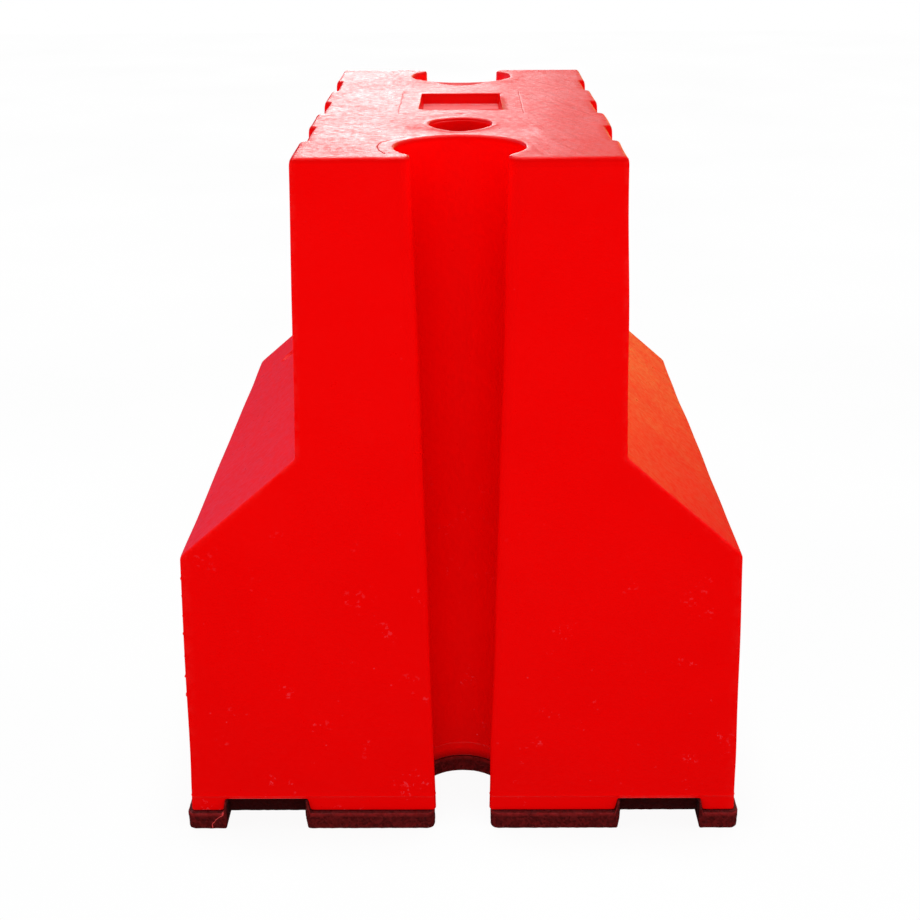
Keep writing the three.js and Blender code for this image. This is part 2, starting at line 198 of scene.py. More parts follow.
def fill(builder, outer, holes, lines, grid, lift, flip=False):
    """Triangulates the plane region inside outer and outside holes.
    outer and holes are (vertex numbers, 2-D points); lines are open 2-D polylines kept as edges;
    grid is loose 2-D points; lift turns new 2-D points into 3-D ones. Returns the new vertex numbers."""
    flat, number, edges = [], [], []

    def put(points, ids, closed):
        base = len(flat)
        flat.extend(points.tolist())
        number.extend(ids)
        n = len(points)
        for i in range(n if closed else n - 1):
            edges.append((base + i, base + (i + 1) % n))

    put(outer[1], [int(i) for i in outer[0]], True)
    for ids, pts in holes:
        put(pts, [int(i) for i in ids], True)
    for pts in lines:
        put(pts, [-1] * len(pts), False)
    put_grid = grid[inside(grid, outer[1]) & (distance_to(grid, outer[1]) > 3.0)]
    for _, pts in holes:
        put_grid = put_grid[~inside(put_grid, pts) & (distance_to(put_grid, pts) > 2.5)]
    for p in put_grid:
        flat.append([float(p[0]), float(p[1])])
        number.append(-1)
    v, _, f, ov, _, _ = delaunay_2d_cdt([Vector(p) for p in flat], edges, [], 0, 1e-5)
    v2 = np.array([[p[0], p[1]] for p in v])
    ids = np.full(len(v), -1)
    for i, src in enumerate(ov):
        for s in src:
            if number[s] >= 0:
                ids[i] = number[s]
                break
    new = np.where(ids < 0)[0]
    fresh = builder.add(lift(v2[new]))
    ids[new] = fresh
    tris = np.array(f)
    mid = v2[tris].mean(axis=1)
    keep = inside(mid, outer[1])
    for _, pts in holes:
        keep &= ~inside(mid, pts)
    tris = ids[tris[keep]]
    if flip:
        tris = tris[:, ::-1]
    builder.faces.extend(tris.tolist())
    return fresh


def fillet_path(points, steps=6):
    """Polyline of (a, b, radius) with its inner corners rounded."""
    out = []
    for i, (x, y, r) in enumerate(points):
        p = np.array([x, y], float)
        if r == 0 or i in (0, len(points) - 1):
            out.append(p)
            continue
        a = np.array(points[i - 1][:2], float) - p
        b = np.array(points[i + 1][:2], float) - p
        a /= np.linalg.norm(a)
        b /= np.linalg.norm(b)
        half = math.acos(np.clip(a @ b, -1, 1)) / 2
        reach = r / math.tan(half)
        centre = p + (a + b) / np.linalg.norm(a + b) * r / math.sin(half)
        s, e = p + a * reach - centre, p + b * reach - centre
        a0 = math.atan2(s[1], s[0])
        turn = (math.atan2(e[1], e[0]) - a0 + math.pi) % (2 * math.pi) - math.pi
        for k in range(steps + 1):
            t = a0 + turn * k / steps
            out.append(centre + r * np.array([math.cos(t), math.sin(t)]))
    return np.array(out)


# ------------------------------------------------------------------ tank
profile = fillet_path(
    [
        (HALF_FOOT, Z0, 0),
        (HALF_SHOULDER, Z_SHOULDER, 11),
        (HALF_NECK, Z_NECK, 9),
        (HALF_TOP, HEIGHT, 0),
    ],
    8,
)


def half_width(z):
    return np.interp(z, profile[:, 1], profile[:, 0])


# channel in the underside: rise of the lower edge at a distance x from the middle
CHANNEL = np.array(
    [
        (178.5, 0), (180.6, 0.25), (182.0, 1.5), (182.6, 3.2), (184.5, 13.0),
        (185.2, 15.0), (186.4, 15.8), (188.5, 16.0), (280.5, 16.0), (282.6, 15.8),
        (283.8, 15.0), (284.5, 13.0), (286.4, 3.2), (287.0, 1.5), (288.4, 0.25), (290.5, 0),
    ]
)  # fmt: skip


def channel_rise(x):
    return np.interp(np.abs(x), CHANNEL[:, 0], CHANNEL[:, 1], 0, 0)


FACE_X = np.array(
    sorted(
        [46, 58, 72, 88, 104, 120, 136, 152, 166]
        + CHANNEL[:, 0].tolist()
        + [200, 212, 224, 236, 248, 260, 271]
        + [299, 306, 311.5]
    )
)
LIP_STEPS, WALL_STEPS, CORNER_STEPS = 9, 44, 5

side_y = np.linspace(-HALF_L + R_CORNER, HALF_L - R_CORNER, 84)
for c in FLUTE_Y:
    for e in (-48.0, 48.0):
        side_y = side_y[np.abs(side_y - c - e) > 8.0]
        side_y = np.append(side_y, c + e + np.linspace(-7.0, 7.0, 11))
side_y = np.sort(side_y)
left_y = np.sort(np.append(side_y[(side_y < 199) | (side_y > 233.5)], np.arange(199.5, 233.5, 1.7)))


def socket_curve(R, D, w, off, lip_steps=LIP_STEPS, wall_steps=WALL_STEPS):
    """From the left-hand face round the socket to the right-hand face, depth from the face as y."""
    b, c = 2 * (w - D - R), w * w + D * D - R * R
    lip = (-b - math.sqrt(b * b - 4 * c)) / 2
    lx = w + lip
    meet = math.atan2(D - lip, -lx) - 2 * math.pi
    t = -math.pi / 2 + (meet + math.pi / 2) * np.arange(lip_steps + 1) / lip_steps
    r = lip - off
    lip_right = np.stack([lx + r * np.cos(t), lip + r * np.sin(t)], -1)
    a0 = math.atan2(lip - D, lx)
    s = a0 + (math.pi - 2 * a0) * np.arange(1, wall_steps) / wall_steps
    wall = np.stack([(R + off) * np.cos(s), D + (R + off) * np.sin(s)], -1)
    left = lip_right * [-1, 1]
    return np.concatenate([left, wall[::-1], lip_right[::-1]]), lx


def face_columns(lx, W, corner, half_l, xs, foot_lx, foot_end):
    u = (xs - foot_lx) / (foot_end - foot_lx)
    return lx + (W - corner - lx) * u


_, FOOT_LX = socket_curve(
    at_height(SOCKET_R, Z0), at_height(SOCKET_D, Z0), at_height(MOUTH, Z0), 0
)
FOOT_END = HALF_FOOT - R_CORNER


def outline(z, off, W, flute):
    """Closed outline at height z, offset inwards by off. flute(y) is the inset of the long sides."""
    R, D, w = (at_height(p, z) for p in (SOCKET_R, SOCKET_D, MOUTH))
    sock, lx = socket_curve(R, D, w, off)
    xs = face_columns(lx, W, R_CORNER, HALF_L, FACE_X, FOOT_LX, FOOT_END)
    yf = -HALF_L + off
    front = np.stack([sock[:, 0], -HALF_L + sock[:, 1]], -1)
    front_r = np.stack([xs, np.full(len(xs), yf)], -1)
    front_l = (front_r * [-1, 1])[::-1]
    r = R_CORNER - off
    t = -math.pi / 2 + (math.pi / 2) * np.arange(CORNER_STEPS + 1) / CORNER_STEPS
    cx, cy = W - R_CORNER, HALF_L - R_CORNER
    corner_fr = np.stack([cx + r * np.cos(t), -cy + r * np.sin(t)], -1)
    right = np.stack([W - off - flute(side_y), side_y], -1)[1:-1]
    left = np.stack([-(W - off - flute(left_y)), left_y], -1)[1:-1][::-1]
    rear = front[::-1] * [1, -1]
    pieces = [
        front_l, front, front_r,
        corner_fr, right, (corner_fr * [1, -1])[::-1],
        (front_r * [1, -1])[::-1], rear, (front_l * [1, -1])[::-1],
        corner_fr * [-1, -1], left, (corner_fr * [-1, 1])[::-1],
    ]  # fmt: skip
    return np.concatenate(pieces), [len(p) for p in pieces]


def flute_at(z):
    fade = float(smooth((z - 484.0) / 22.0))

    def inset(y):
        d = np.zeros(len(y))
        for c in FLUTE_Y:
            d = np.maximum(d, 1 - smooth((np.abs(y - c) - 43.6) / 8.0))
        return 7.0 * fade * d

    return inset


# heights of the rows, with the inward offset of each
rows = []
for k in range(4):
    a = math.pi / 2 * k / 3
    rows.append((Z0 + R_FOOT * (1 - math.cos(a)), R_FOOT * (1 - math.sin(a))))
rows += [(Z0 + 4.5, 0), (Z0 + 9, 0), (Z0 + 14, 0), (41.6, 0)]
rows += [(42.3, -0.18), (42.8, -0.42), (43.2, -0.5), (43.6, -0.42), (44.1, -0.18), (44.8, 0)]
zs = list(np.arange(51, 352, 9.6))
zs += list(np.linspace(353, 366, 8))
zs += list(np.arange(370, 400, 6.0)) + list(np.arange(401, 466, 2.3)) + list(np.arange(467, 472, 2.4))
zs += list(np.linspace(473, 481, 8))
zs += list(np.arange(484, 510, 3.6)) + list(np.arange(513, HEIGHT - 12, 11.0))
zs += [HEIGHT - 10, HEIGHT - 8, HEIGHT - 6.6, HEIGHT - 5.2, HEIGHT - 4.0]
rows += [(z, 0) for z in zs]
for k in range(6):
    a = math.pi / 2 * k / 5
    rows.append((HEIGHT - R_TOP + R_TOP * math.sin(a), R_TOP * (1 - math.cos(a))))

tank = Builder()
ring_points, counts = [], None
for z, off in rows:
    W = half_width(min(z, HEIGHT - R_TOP))
    xy, counts = outline(z, off, W, flute_at(min(z, HEIGHT - R_TOP)))
    # the long edges of the deck are rounder than the end ones
    roll = 1.9 * min(max((z - (HEIGHT - 9.0)) / 9.0, 0.0), 1.0) ** 2
    xy[:, 0] -= np.sign(xy[:, 0]) * roll * smooth((np.abs(xy[:, 0]) - (W - 16.0)) / 12.0)
    zz = np.full(len(xy), z)
    # the end faces' lower edge steps up over the channels
    starts = np.concatenate([[0], np.cumsum(counts)])
    if z < 41.6:
        for part in (0, 2, 6, 8):
            s, e = starts[part], starts[part + 1]
            nominal = FACE_X if part in (2, 8) else FACE_X[::-1]
            if part in (6, 8):
                nominal = nominal[::-1] if part == 6 else nominal
            rise = channel_rise(
                FACE_X if part == 2 else FACE_X[::-1] if part == 0 else FACE_X[::-1] if part == 6 else FACE_X
            )
            foot = Z0 + R_FOOT
            if z <= foot:
                zz[s:e] = z + rise
            else:
                lo = foot + rise
                zz[s:e] = lo + (z - foot) * (41.6 - lo) / (41.6 - foot)
    ring_points.append(np.column_stack([xy, zz]))
ring_points = np.array(ring_points)
K, N = ring_points.shape[:2]
starts = np.concatenate([[0], np.cumsum(counts)])

# outline normals in plan, for the gentle waviness that a moulding has
ahead = np.roll(ring_points, -1, axis=1) - np.roll(ring_points, 1, axis=1)
normal = np.stack([ahead[..., 1], -ahead[..., 0]], -1)
normal /= np.maximum(np.linalg.norm(normal, axis=-1, keepdims=True), 1e-9)


def wall_shift(points):
    calm = smooth((points[:, 2] - 30.0) / 70.0)
    return 0.42 * wall_wave(points) * (0.25 + 0.75 * calm) * calm


shift = wall_shift(ring_points.reshape(-1, 3)).reshape(K, N)
face_cols = np.zeros(N, bool)
for part in (0, 2, 6, 8):
    face_cols[starts[part] : starts[part + 1]] = True
shift[:, face_cols] = np.minimum(shift[:, face_cols], 0.6)
ring_points[..., :2] += normal * shift[..., None]

# shallow round-ended seat in the left-hand slope
sl = SLOPE_SEAT
slope_dir = np.array([HALF_SHOULDER - HALF_NECK, 0, Z_NECK - Z_SHOULDER])
slope_dir /= np.linalg.norm(slope_dir)
slope_n = np.array([-slope_dir[2], 0, slope_dir[0]])
seat_at = np.array([sl["x"], sl["y"], Z_SHOULDER + (sl["x"] + HALF_SHOULDER) * (Z_NECK - Z_SHOULDER) / (HALF_SHOULDER - HALF_NECK)])
flat_points = ring_points.reshape(-1, 3)
rel = flat_points - seat_at
u, v, h = rel @ slope_dir, rel[:, 1], rel @ slope_n
du = np.maximum(np.maximum(sl["half"] - u, u - (sl["length"] - sl["half"])), 0)
reach = np.hypot(du, v) - sl["half"]
depth = sl["deep"] * (1 - smooth((reach + 1.6) / 2.4))
near = (np.abs(h) < 6) & (flat_points[:, 0] < 0) & (np.abs(rel[:, 1]) < 30)
flat_points[near] -= slope_n * depth[near][:, None]
ring_points = flat_points.reshape(K, N, 3)

ring = tank.add(ring_points).reshape(K, N)

# the drain's round recess: a window in the right-hand side
right = starts[4]
cols = [i for i in range(starts[4], starts[5]) if abs(ring_points[0, i, 1]) < 52]
c0, c1 = cols[0], cols[-1]
row_z = np.array([z for z, _ in rows])
r0 = int(np.where(row_z < DRAIN_Z - 43)[0][-1])
r1 = int(np.where(row_z > DRAIN_Z + 43)[0][0])
q = []
nxt = np.roll(ring, -1, axis=1)
for k in range(K - 1):
    for i in range(N):
        if r0 <= k < r1 and c0 <= i < c1:
            continue
        q.append([int(ring[k, i]), int(nxt[k, i]), int(nxt[k + 1, i]), int(ring[k + 1, i])])
tank.faces.extend(q)
loop = (
    [(r0, i) for i in range(c0, c1)]
    + [(k, c1) for k in range(r0, r1)]
    + [(r1, i) for i in range(c1, c0, -1)]
    + [(k, c0) for k in range(r1, r0, -1)]
)
loop_ids = [ring[k, i] for k, i in loop]
loop_pts = np.array([ring_points[k, i, 1:] for k, i in loop])


def side_point(yz, inset=0.0):
    yz = np.asarray(yz, float)
    p = np.column_stack([half_width(yz[:, 1]), yz[:, 0], yz[:, 1]])
    p[:, 0] += wall_shift(p) - inset
    return p


SEG = 72
ang = 2 * np.pi * np.arange(SEG) / SEG
circle = np.stack([np.cos(ang), np.sin(ang)], -1)
recess = []
for k in range(5):  # rounded lip
    a = math.pi / 2 * k / 4
    r = 38 + 3.5 * (1 - math.sin(a))
    pts = side_point(circle * r + [0, DRAIN_Z])
    pts[:, 0] -= 3.5 * (1 - math.cos(a))
    recess.append(pts)
lip_x = recess[-1][:, 0]
for t in (0.25, 0.5, 0.75):
    p = recess[4].copy()
    p[:, 0] = lip_x + (DRAIN_FLOOR + 4 - lip_x) * t
    recess.append(p)
for k in range(5):  # rounded foot
    a = math.pi / 2 * k / 4
    r = 38 - 4 * (1 - math.cos(a))
    yz = circle * r + [0, DRAIN_Z]
    recess.append(np.column_stack([np.full(SEG, DRAIN_FLOOR + 4 * (1 - math.sin(a))), yz]))
for r in (30, 26, 22.5):
    yz = circle * r + [0, DRAIN_Z]
    recess.append(np.column_stack([np.full(SEG, DRAIN_FLOOR + (0.0 if r > 25 else 0.0)), yz]))
for x in (DRAIN_FLOOR - 0.5, DRAIN_FLOOR - 7):
    yz = circle * 21.0 + [0, DRAIN_Z]
    recess.append(np.column_stack([np.full(SEG, x), yz]))
rec = np.array([tank.add(p) for p in recess])
tank.quads(rec)
grid = np.array([(y, z) for y in np.arange(-50, 51, 6.0) for z in np.arange(30, 121, 6.0)])
fill(tank, (loop_ids, loop_pts), [(rec[0], recess[0][:, 1:])], [], grid, side_point)

# ------------------------------------------------------------------ top deck
deck_ids = ring[-1]
deck_pts = ring_points[-1, :, :2]
edge_fade = lambda p, d: smooth(distance_to(p, d) / 26.0)  # noqa: E731


def round_rect(x0, x1, y0, y1, r, steps=7, per=12):
    out = []
    for cx, cy, a0 in ((x1 - r, y1 - r, 0), (x0 + r, y1 - r, 90), (x0 + r, y0 + r, 180), (x1 - r, y0 + r, 270)):
        for k in range(steps + 1):
            a = math.radians(a0 + 90 * k / steps)
            out.append((cx + r * math.cos(a), cy + r * math.sin(a)))
    pts = []
    n = len(out)
    for i in range(n):
        p, q2 = np.array(out[i]), np.array(out[(i + 1) % n])
        m = max(1, int(np.linalg.norm(q2 - p) / per))
        pts += [p + (q2 - p) * j / m for j in range(m)]
    return np.array(pts)


def offset_loop(points, d):
    """Moves a closed counter-clockwise loop outwards by d."""
    a = np.roll(points, -1, axis=0) - np.roll(points, 1, axis=0)
    n = np.stack([a[:, 1], -a[:, 0]], -1)
    n /= np.linalg.norm(n, axis=1)[:, None]
    return points + n * d


def deck_z(p):
    d = np.column_stack([p, np.full(len(p), HEIGHT)])
    z = HEIGHT - 0.45 * (1 + np.tanh(deck_wave(d) * 0.7)) * edge_fade(p, deck_pts)
    # the strip between the filler well and the front socket has sunk a little
    z -= 2.2 * np.exp(-((p[:, 0] / 25.0) ** 2)) * np.exp(-(((p[:, 1] - FILL_Y + 47.0) / 20.0) ** 2))
    fall = smooth((FILL_Y + 6.0 - p[:, 1]) / 52.0) * (1 - smooth((FILL_Y - 82.0 - p[:, 1]) / 60.0))
    z -= 1.8 * fall * np.exp(-((p[:, 0] / 72.0) ** 4))
    # moon-shaped hollow in front of the rear socket
    r = np.hypot(p[:, 0], p[:, 1] - (HALF_L - at_height(SOCKET_D, HEIGHT)))
    moon = smooth((r - 69.5) / 2.0) * (1 - smooth((r - 76.0 - 14.0 * np.exp(-((p[:, 0] / 22.0) ** 2))) / 5.0))
    z -= 2.1 * moon * smooth((34.0 - np.abs(p[:, 0])) / 16.0) * (p[:, 1] < 240)
    # low bead round the filler well
    rw = np.hypot(p[:, 0], p[:, 1] - FILL_Y)
    z -= 0.42 * smooth((rw - 39.5) / 3.5) * (1 - smooth((rw - 44.0) / 24.0))
    # pin mark
    z -= 1.4 * np.exp(-(((p[:, 0] - 1.0) ** 2 + (p[:, 1] + 62.0) ** 2) / 5.0))
    return z


# filler well
WELL_TOP = 39.0
well_rows = []

pts = circle * WELL_TOP + [0, FILL_Y]
well_rows.append(np.column_stack([pts, deck_z(pts)]))
for r, z in (
    (38.2, -0.08), (37.3, -0.24), (36.5, -0.55), (35.9, -1.1), (35.6, -1.9), (35.5, -2.9),
    (35.3, -3.3), (34.9, -3.6), (34.7, -4.1), (34.6, -6.0), (34.8, HEIGHT - 18),
    (35.0, 774.0), (34.6, 772.2), (33.4, 770.7), (32.4, 770.2), (31.2, 770.0), (31.0, 769.4), (31.0, 763.0),
):  # fmt: skip
    pts = circle * r + [0, FILL_Y]
    top = deck_z(circle * WELL_TOP + [0, FILL_Y])
    well_rows.append(np.column_stack([pts, top + z if z < 0 else np.full(SEG, z)]))
well = np.array([tank.add(p) for p in well_rows])
tank.quads(well)

# rectangular seat
s = DECK_SEAT
base_loop = round_rect(-s["x"], s["x"], s["y0"], s["y1"], 3.4)
seat_rows = []
for d, z in (
    (1.4, None), (0.75, -0.2), (0.25, -0.7), (0.0, -1.5), (-0.5, -6.0), (-0.9, -11.0),
    (-1.15, -12.6), (-1.6, -13.4), (-2.4, -13.85), (-3.3, -14.0),
):  # fmt: skip
    loop2 = offset_loop(base_loop, d)
    zz = deck_z(loop2) if z is None else np.full(len(loop2), HEIGHT + z)
    seat_rows.append(np.column_stack([loop2, zz]))
seat = np.array([tank.add(p) for p in seat_rows])
tank.quads(seat)
floor_wave = waves(15, (40, 120), 8)
g = np.array([(x, y) for x in np.arange(-44, 45, 7.3) for y in np.arange(-18, 103, 7.3)])
fill(
    tank,
    (seat[-1], seat_rows[-1][:, :2]),
    [],
    [],
    g,
    lambda p: np.column_stack([p, HEIGHT - 14.0 + 0.35 * floor_wave(np.column_stack([p, p[:, 0]]))]),
)

# fine mould lines in the deck: a ring round each socket and the outline of the seat's insert
lines, sunk = [], []
for end in (-1, 1):
    cy = end * (HALF_L - at_height(SOCKET_D, HEIGHT))
    for r, low in ((82.0, 0), (83.4, 0), (84.3, 0), (84.8, 1), (85.2, 1), (85.7, 0), (86.6, 0), (88.0, 0)):
        a = np.radians(np.linspace(135, 208, 40)) if end < 0 else np.radians(np.linspace(20, 50, 20))
        arc = np.stack([r * np.cos(a), cy - end * r * np.sin(a)], -1)
        arc = arc[(np.abs(arc[:, 1]) < HALF_L - R_TOP - 3) & (distance_to(arc, deck_pts) > 2.0)]
        lines.append(arc)
        if low:
            sunk.append(arc)
for side in (-73.0, 74.5):
    for d, low in ((-3.2, 0), (-1.7, 0), (-0.8, 0), (-0.25, 1), (0.25, 1), (0.8, 0), (1.7, 0), (3.2, 0)):
        yy = np.linspace(-55, 118, 30)
        lp = np.column_stack([side + d + 0.25 * np.sin(yy / 9.0), yy])
        lines.append(lp)
        if low:
            sunk.append(lp)
for d, low in ((-3.2, 0), (-1.7, 0), (-0.8, 0), (-0.25, 1), (0.25, 1), (0.8, 0), (1.7, 0), (3.2, 0)):
    xx = np.linspace(-71, -52, 8)
    lp = np.column_stack([xx, -56.5 + d + 0 * xx])
    lines.append(lp)
    if low:
        sunk.append(lp)
rng = np.random.default_rng(5)
gx = np.arange(-166, 167, 8.3)
gy = np.arange(-336, 337, 8.3)
g = np.array([(x, y) for x in gx for y in gy]) + rng.uniform(-1.2, 1.2, (len(gx) * len(gy), 2))
extra = [(x, y) for x in np.arange(-57, 58, 4.1) for y in np.arange(FILL_Y - 76, FILL_Y - 34, 4.1)]
extra = [p for p in extra if math.hypot(p[0], p[1] - FILL_Y) > 46.5]
extra += [
    (r * math.cos(a + r), FILL_Y + r * math.sin(a + r))
    for r in (40.4, 42.0, 44.2)
    for a in np.arange(0, 2 * math.pi - 0.03, 0.105)
]
extra += [(x, y) for x in np.arange(-44, 45, 3.3) for y in np.arange(176, 214, 2.7)]
extra = np.array(extra)
pin = np.array([(1 + r * math.cos(a), -62 + r * math.sin(a)) for r in (0.01, 1.2, 2.4, 3.8) for a in np.arange(0, 6.2, 0.7)])[8:]
far_from = lambda a, b2, d: np.min(np.hypot(a[:, None, 0] - b2[None, :, 0], a[:, None, 1] - b2[None, :, 1]), axis=1) > d  # noqa: E731
g = g[far_from(g, extra, 4.0)]
g = g[far_from(g, pin, 3.0)]
g = np.concatenate([g, extra, pin])
for ln in lines:
    closest = np.full(len(g), 1e9)
    for p in ln:
        closest = np.minimum(closest, np.linalg.norm(g - p, axis=1))
    g = g[closest > 3.4]
sunk_pts = np.concatenate(sunk)


def deck_lift(p):
    z = deck_z(p)
    for i in range(len(p)):
        if np.min(np.abs(sunk_pts - p[i]).sum(axis=1)) < 0.02:
            z[i] -= 0.50 if p[i, 1] < -180 else (0.18 if p[i, 0] > 50 else 0.45)
    return np.column_stack([p, z])


fill(tank, (deck_ids, deck_pts), [(well[0], well_rows[0][:, :2]), (seat[0], seat_rows[0][:, :2])], lines, g, deck_lift)

# underside, following the channels
foot_pts = ring_points[0, :, :2]
foot_lines = []
for side in (-1, 1):
    for x in CHANNEL[:, 0]:
        foot_lines.append(np.array([(side * x, y) for y in np.linspace(-HALF_L + 6, HALF_L - 6, 18)]))
fill(
    tank,
    (ring[0], foot_pts),
    [],
    foot_lines,
    np.zeros((0, 2)) + 0.0 if False else np.array([(0.0, 0.0), (0.0, 100.0), (0.0, -100.0)]),
    lambda p: np.column_stack([p, Z0 + channel_rise(p[:, 0])]),
    flip=True,
)

# where the surface is worn, and where paler rims also serve as a painted highlight for the rounded edges' shine: the
# rims and the vertical edges
P = tank.points
wear = np.zeros(len(P))
wear[: K * N] = np.repeat(np.array([1.0 if (off > 0 and z > 700) else 0.0 for z, off in rows]), N)
corner_cols = np.zeros(N)
for part in (3, 5, 9, 11):
    corner_cols[starts[part] : starts[part + 1]] = 1.0
wear[: K * N] = np.maximum(wear[: K * N], np.tile(corner_cols, K) * 0.22)
dull = ((np.abs(P[:, 2] - (HEIGHT - 14.0)) < 1.3) & (np.abs(P[:, 0]) < 47.5) & (P[:, 1] > -24.5) & (P[:, 1] < 103.5)).astype(float)
# painted shade: marks the walls of the deck's rectangular seat, which are painted a darker red
deep = ((np.abs(P[:, 0]) < 51.5) & (P[:, 1] > -29) & (P[:, 1] < 107.5) & (P[:, 2] < HEIGHT - 1.2) & (P[:, 2] > HEIGHT - 13.7)).astype(float)
# painted highlight: a pale line along the back edge of the seat's floor
bead = ((np.abs(P[:, 2] - (HEIGHT - 13.9)) < 0.18) & (np.abs(P[:, 0]) < 51) & (P[:, 1] > 96) & (P[:, 1] < 108)).astype(float)
patch = np.hypot((P[:, 0] + 112.0) / 88.0, (P[:, 1] + 308.0) / 66.0)
scuff = 0.6 * (1 - smooth((patch - 0.15) / 1.1)) * (P[:, 2] > HEIGHT - 4)
to_well = np.hypot(P[:, 0], P[:, 1] - FILL_Y)
ring_dull = smooth((to_well - 40.2) / 1.5) * (1 - smooth((to_well - 46.0) / 42.0)) * (1 - smooth((P[:, 1] - FILL_Y) / 16.0))
scuff = np.maximum(scuff, 0.72 * ring_dull * (P[:, 2] > HEIGHT - 4))
# painted highlight: a pale ragged line on the filler well's near lip
lip = (to_well > 35.8) & (to_well < 39.2) & (P[:, 2] > HEIGHT - 4.5) & (P[:, 1] < FILL_Y + 12)
bead = np.maximum(bead, 0.8 * lip)
tank_ob = tank.object(
    "tank_moulding", sharp=math.radians(55), attributes={"wear": wear, "dull": dull, "scuff": scuff, "deep": deep, "bead": bead}
)
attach(tank_ob, "tank")
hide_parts("tank_shell")
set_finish(tank_ob, "red_polyethylene")

# ------------------------------------------------------------------ flash left on the mould line
flash = Builder()


def flash_strip(sx, sy, z_from, z_to, fin, nubs, seed):
    """A thin fin along a vertical edge with ragged nubs at the heights in nubs."""
    rng = np.random.default_rng(seed)
    zs = np.arange(z_from, z_to, 0.8)
    n = len(zs)
    tall = fin * (0.75 + 0.25 * jag(np.column_stack([zs * 1.7, zs * 0.6 + seed * 31, zs * 0])))
    tall *= smooth((zs - z_from) / 4) * smooth((z_to - zs) / 12)
    for z in nubs:
        high, wide = rng.uniform(1.0, 1.9), rng.uniform(1.4, 3.2)
        tall = np.maximum(tall, high * np.exp(-(((zs - z) / wide) ** 4)) * (0.75 + 0.25 * np.abs(jag(np.column_stack([zs * 3, zs * 0, zs * 0])))))
    out = np.array([sx * 1.0, sy * 0.35])
    out /= np.linalg.norm(out)
    side = np.array([-out[1], out[0]])
    base = np.column_stack([sx * (half_width(zs) - R_CORNER), np.full(n, sy * (HALF_L - R_CORNER))])
    base = base + out * (R_CORNER - 0.25)
    lean = rng.normal(0, 0.08, n)
    rowsf = []
    for along, high in ((-0.9, 0.0), (-0.4, 0.55), (0.0, 1.0), (0.4, 0.55), (0.9, 0.0)):
        reach = tall * high + 0.2 * (high > 0) - 0.35 * (high == 0)
        xy = base + np.outer(reach, out) + np.outer(along * 0.9 + lean * tall * high, side)
        rowsf.append(np.column_stack([xy, zs]))
    ids = np.array([flash.add(r) for r in rowsf])
    flash.quads(ids, closed=False, flip=sx * sy > 0)


flash_strip(-1, -1, 178, 352, 0.45, (334, 311, 286, 264, 234, 208, 183), 1)
flash_strip(1, 1, 120, 330, 0.3, (300, 262, 190, 141), 2)
flash_strip(-1, 1, 150, 345, 0.35, (322, 240, 171), 3)
flash_ob = flash.object("tank_flash", sharp=math.radians(30))
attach(flash_ob, "tank")
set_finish(flash_ob, "red_polyethylene")

# ------------------------------------------------------------------ base pad
PAD_T = 22.0
PAD_X, PAD_Y = pad_hi.x / MM, pad_hi.y / MM
PAD_CORNER = 10.0
PAD_LOW = np.array(
    [
        (183.0, 0), (184.6, 0.3), (185.6, 1.6), (187.4, 13.6), (188.4, 15.4), (190.2, 16.0),
        (278.8, 16.0), (280.6, 15.4), (281.6, 13.6), (283.4, 1.6), (284.4, 0.3), (286.0, 0),
    ]
)  # fmt: skip
PAD_HIGH = np.array([(182.2, 0), (185.2, 16.0), (283.8, 16.0), (286.8, 0)])


def pad_low(x):
    return np.interp(np.abs(x), PAD_LOW[:, 0], PAD_LOW[:, 1], 0, 0)


def pad_high(x):
    return PAD_T + np.interp(np.abs(x), PAD_HIGH[:, 0], PAD_HIGH[:, 1], 0, 0)


pad_face = np.array(
    sorted(
        list(np.arange(52, 178, 5.0))
        + [180.5, 187.9, 188.75, 280.25, 281.1]
        + PAD_HIGH[:, 0].tolist()
        + [x for x in PAD_LOW[:, 0] if x not in (188.4, 280.6)]
        + list(np.arange(195, 277, 5.0))
        + [290, 296, 302, 308, 314]
    )
)
pad_side = np.linspace(-PAD_Y + PAD_CORNER, PAD_Y - PAD_CORNER, 130)


PAD_BACK = PAD_Y - HALF_L + 8.0


def pad_outline(off):
    sock, lx = socket_curve(57.0, 55.6 + PAD_Y - HALF_L, 33.0, off, 8, 40)
    front = np.stack([sock[:, 0], -PAD_Y + sock[:, 1]], -1)
    back = np.interp(pad_face, (187.9, 188.7, 280.3, 281.1), (0, PAD_BACK, PAD_BACK, 0), 0, 0)
    front_r = np.stack([pad_face, -PAD_Y + off + back], -1)
    front_l = (front_r * [-1, 1])[::-1]
    r = PAD_CORNER - off
    t = -math.pi / 2 + (math.pi / 2) * np.arange(7) / 6
    cx, cy = PAD_X - PAD_CORNER, PAD_Y - PAD_CORNER
    corner = np.stack([cx + r * np.cos(t), -cy + r * np.sin(t)], -1)
    right_s = np.stack([np.full(len(pad_side), PAD_X - off), pad_side], -1)[1:-1]
    left_s = (right_s * [-1, 1])[::-1]
    return np.concatenate(
        [
            front_l, front, front_r, corner, right_s, (corner * [1, -1])[::-1],
            (front_r * [1, -1])[::-1], front[::-1] * [1, -1], (front_l * [1, -1])[::-1],
            corner * [-1, -1], left_s, (corner * [-1, 1])[::-1],
        ]
    )  # fmt: skip


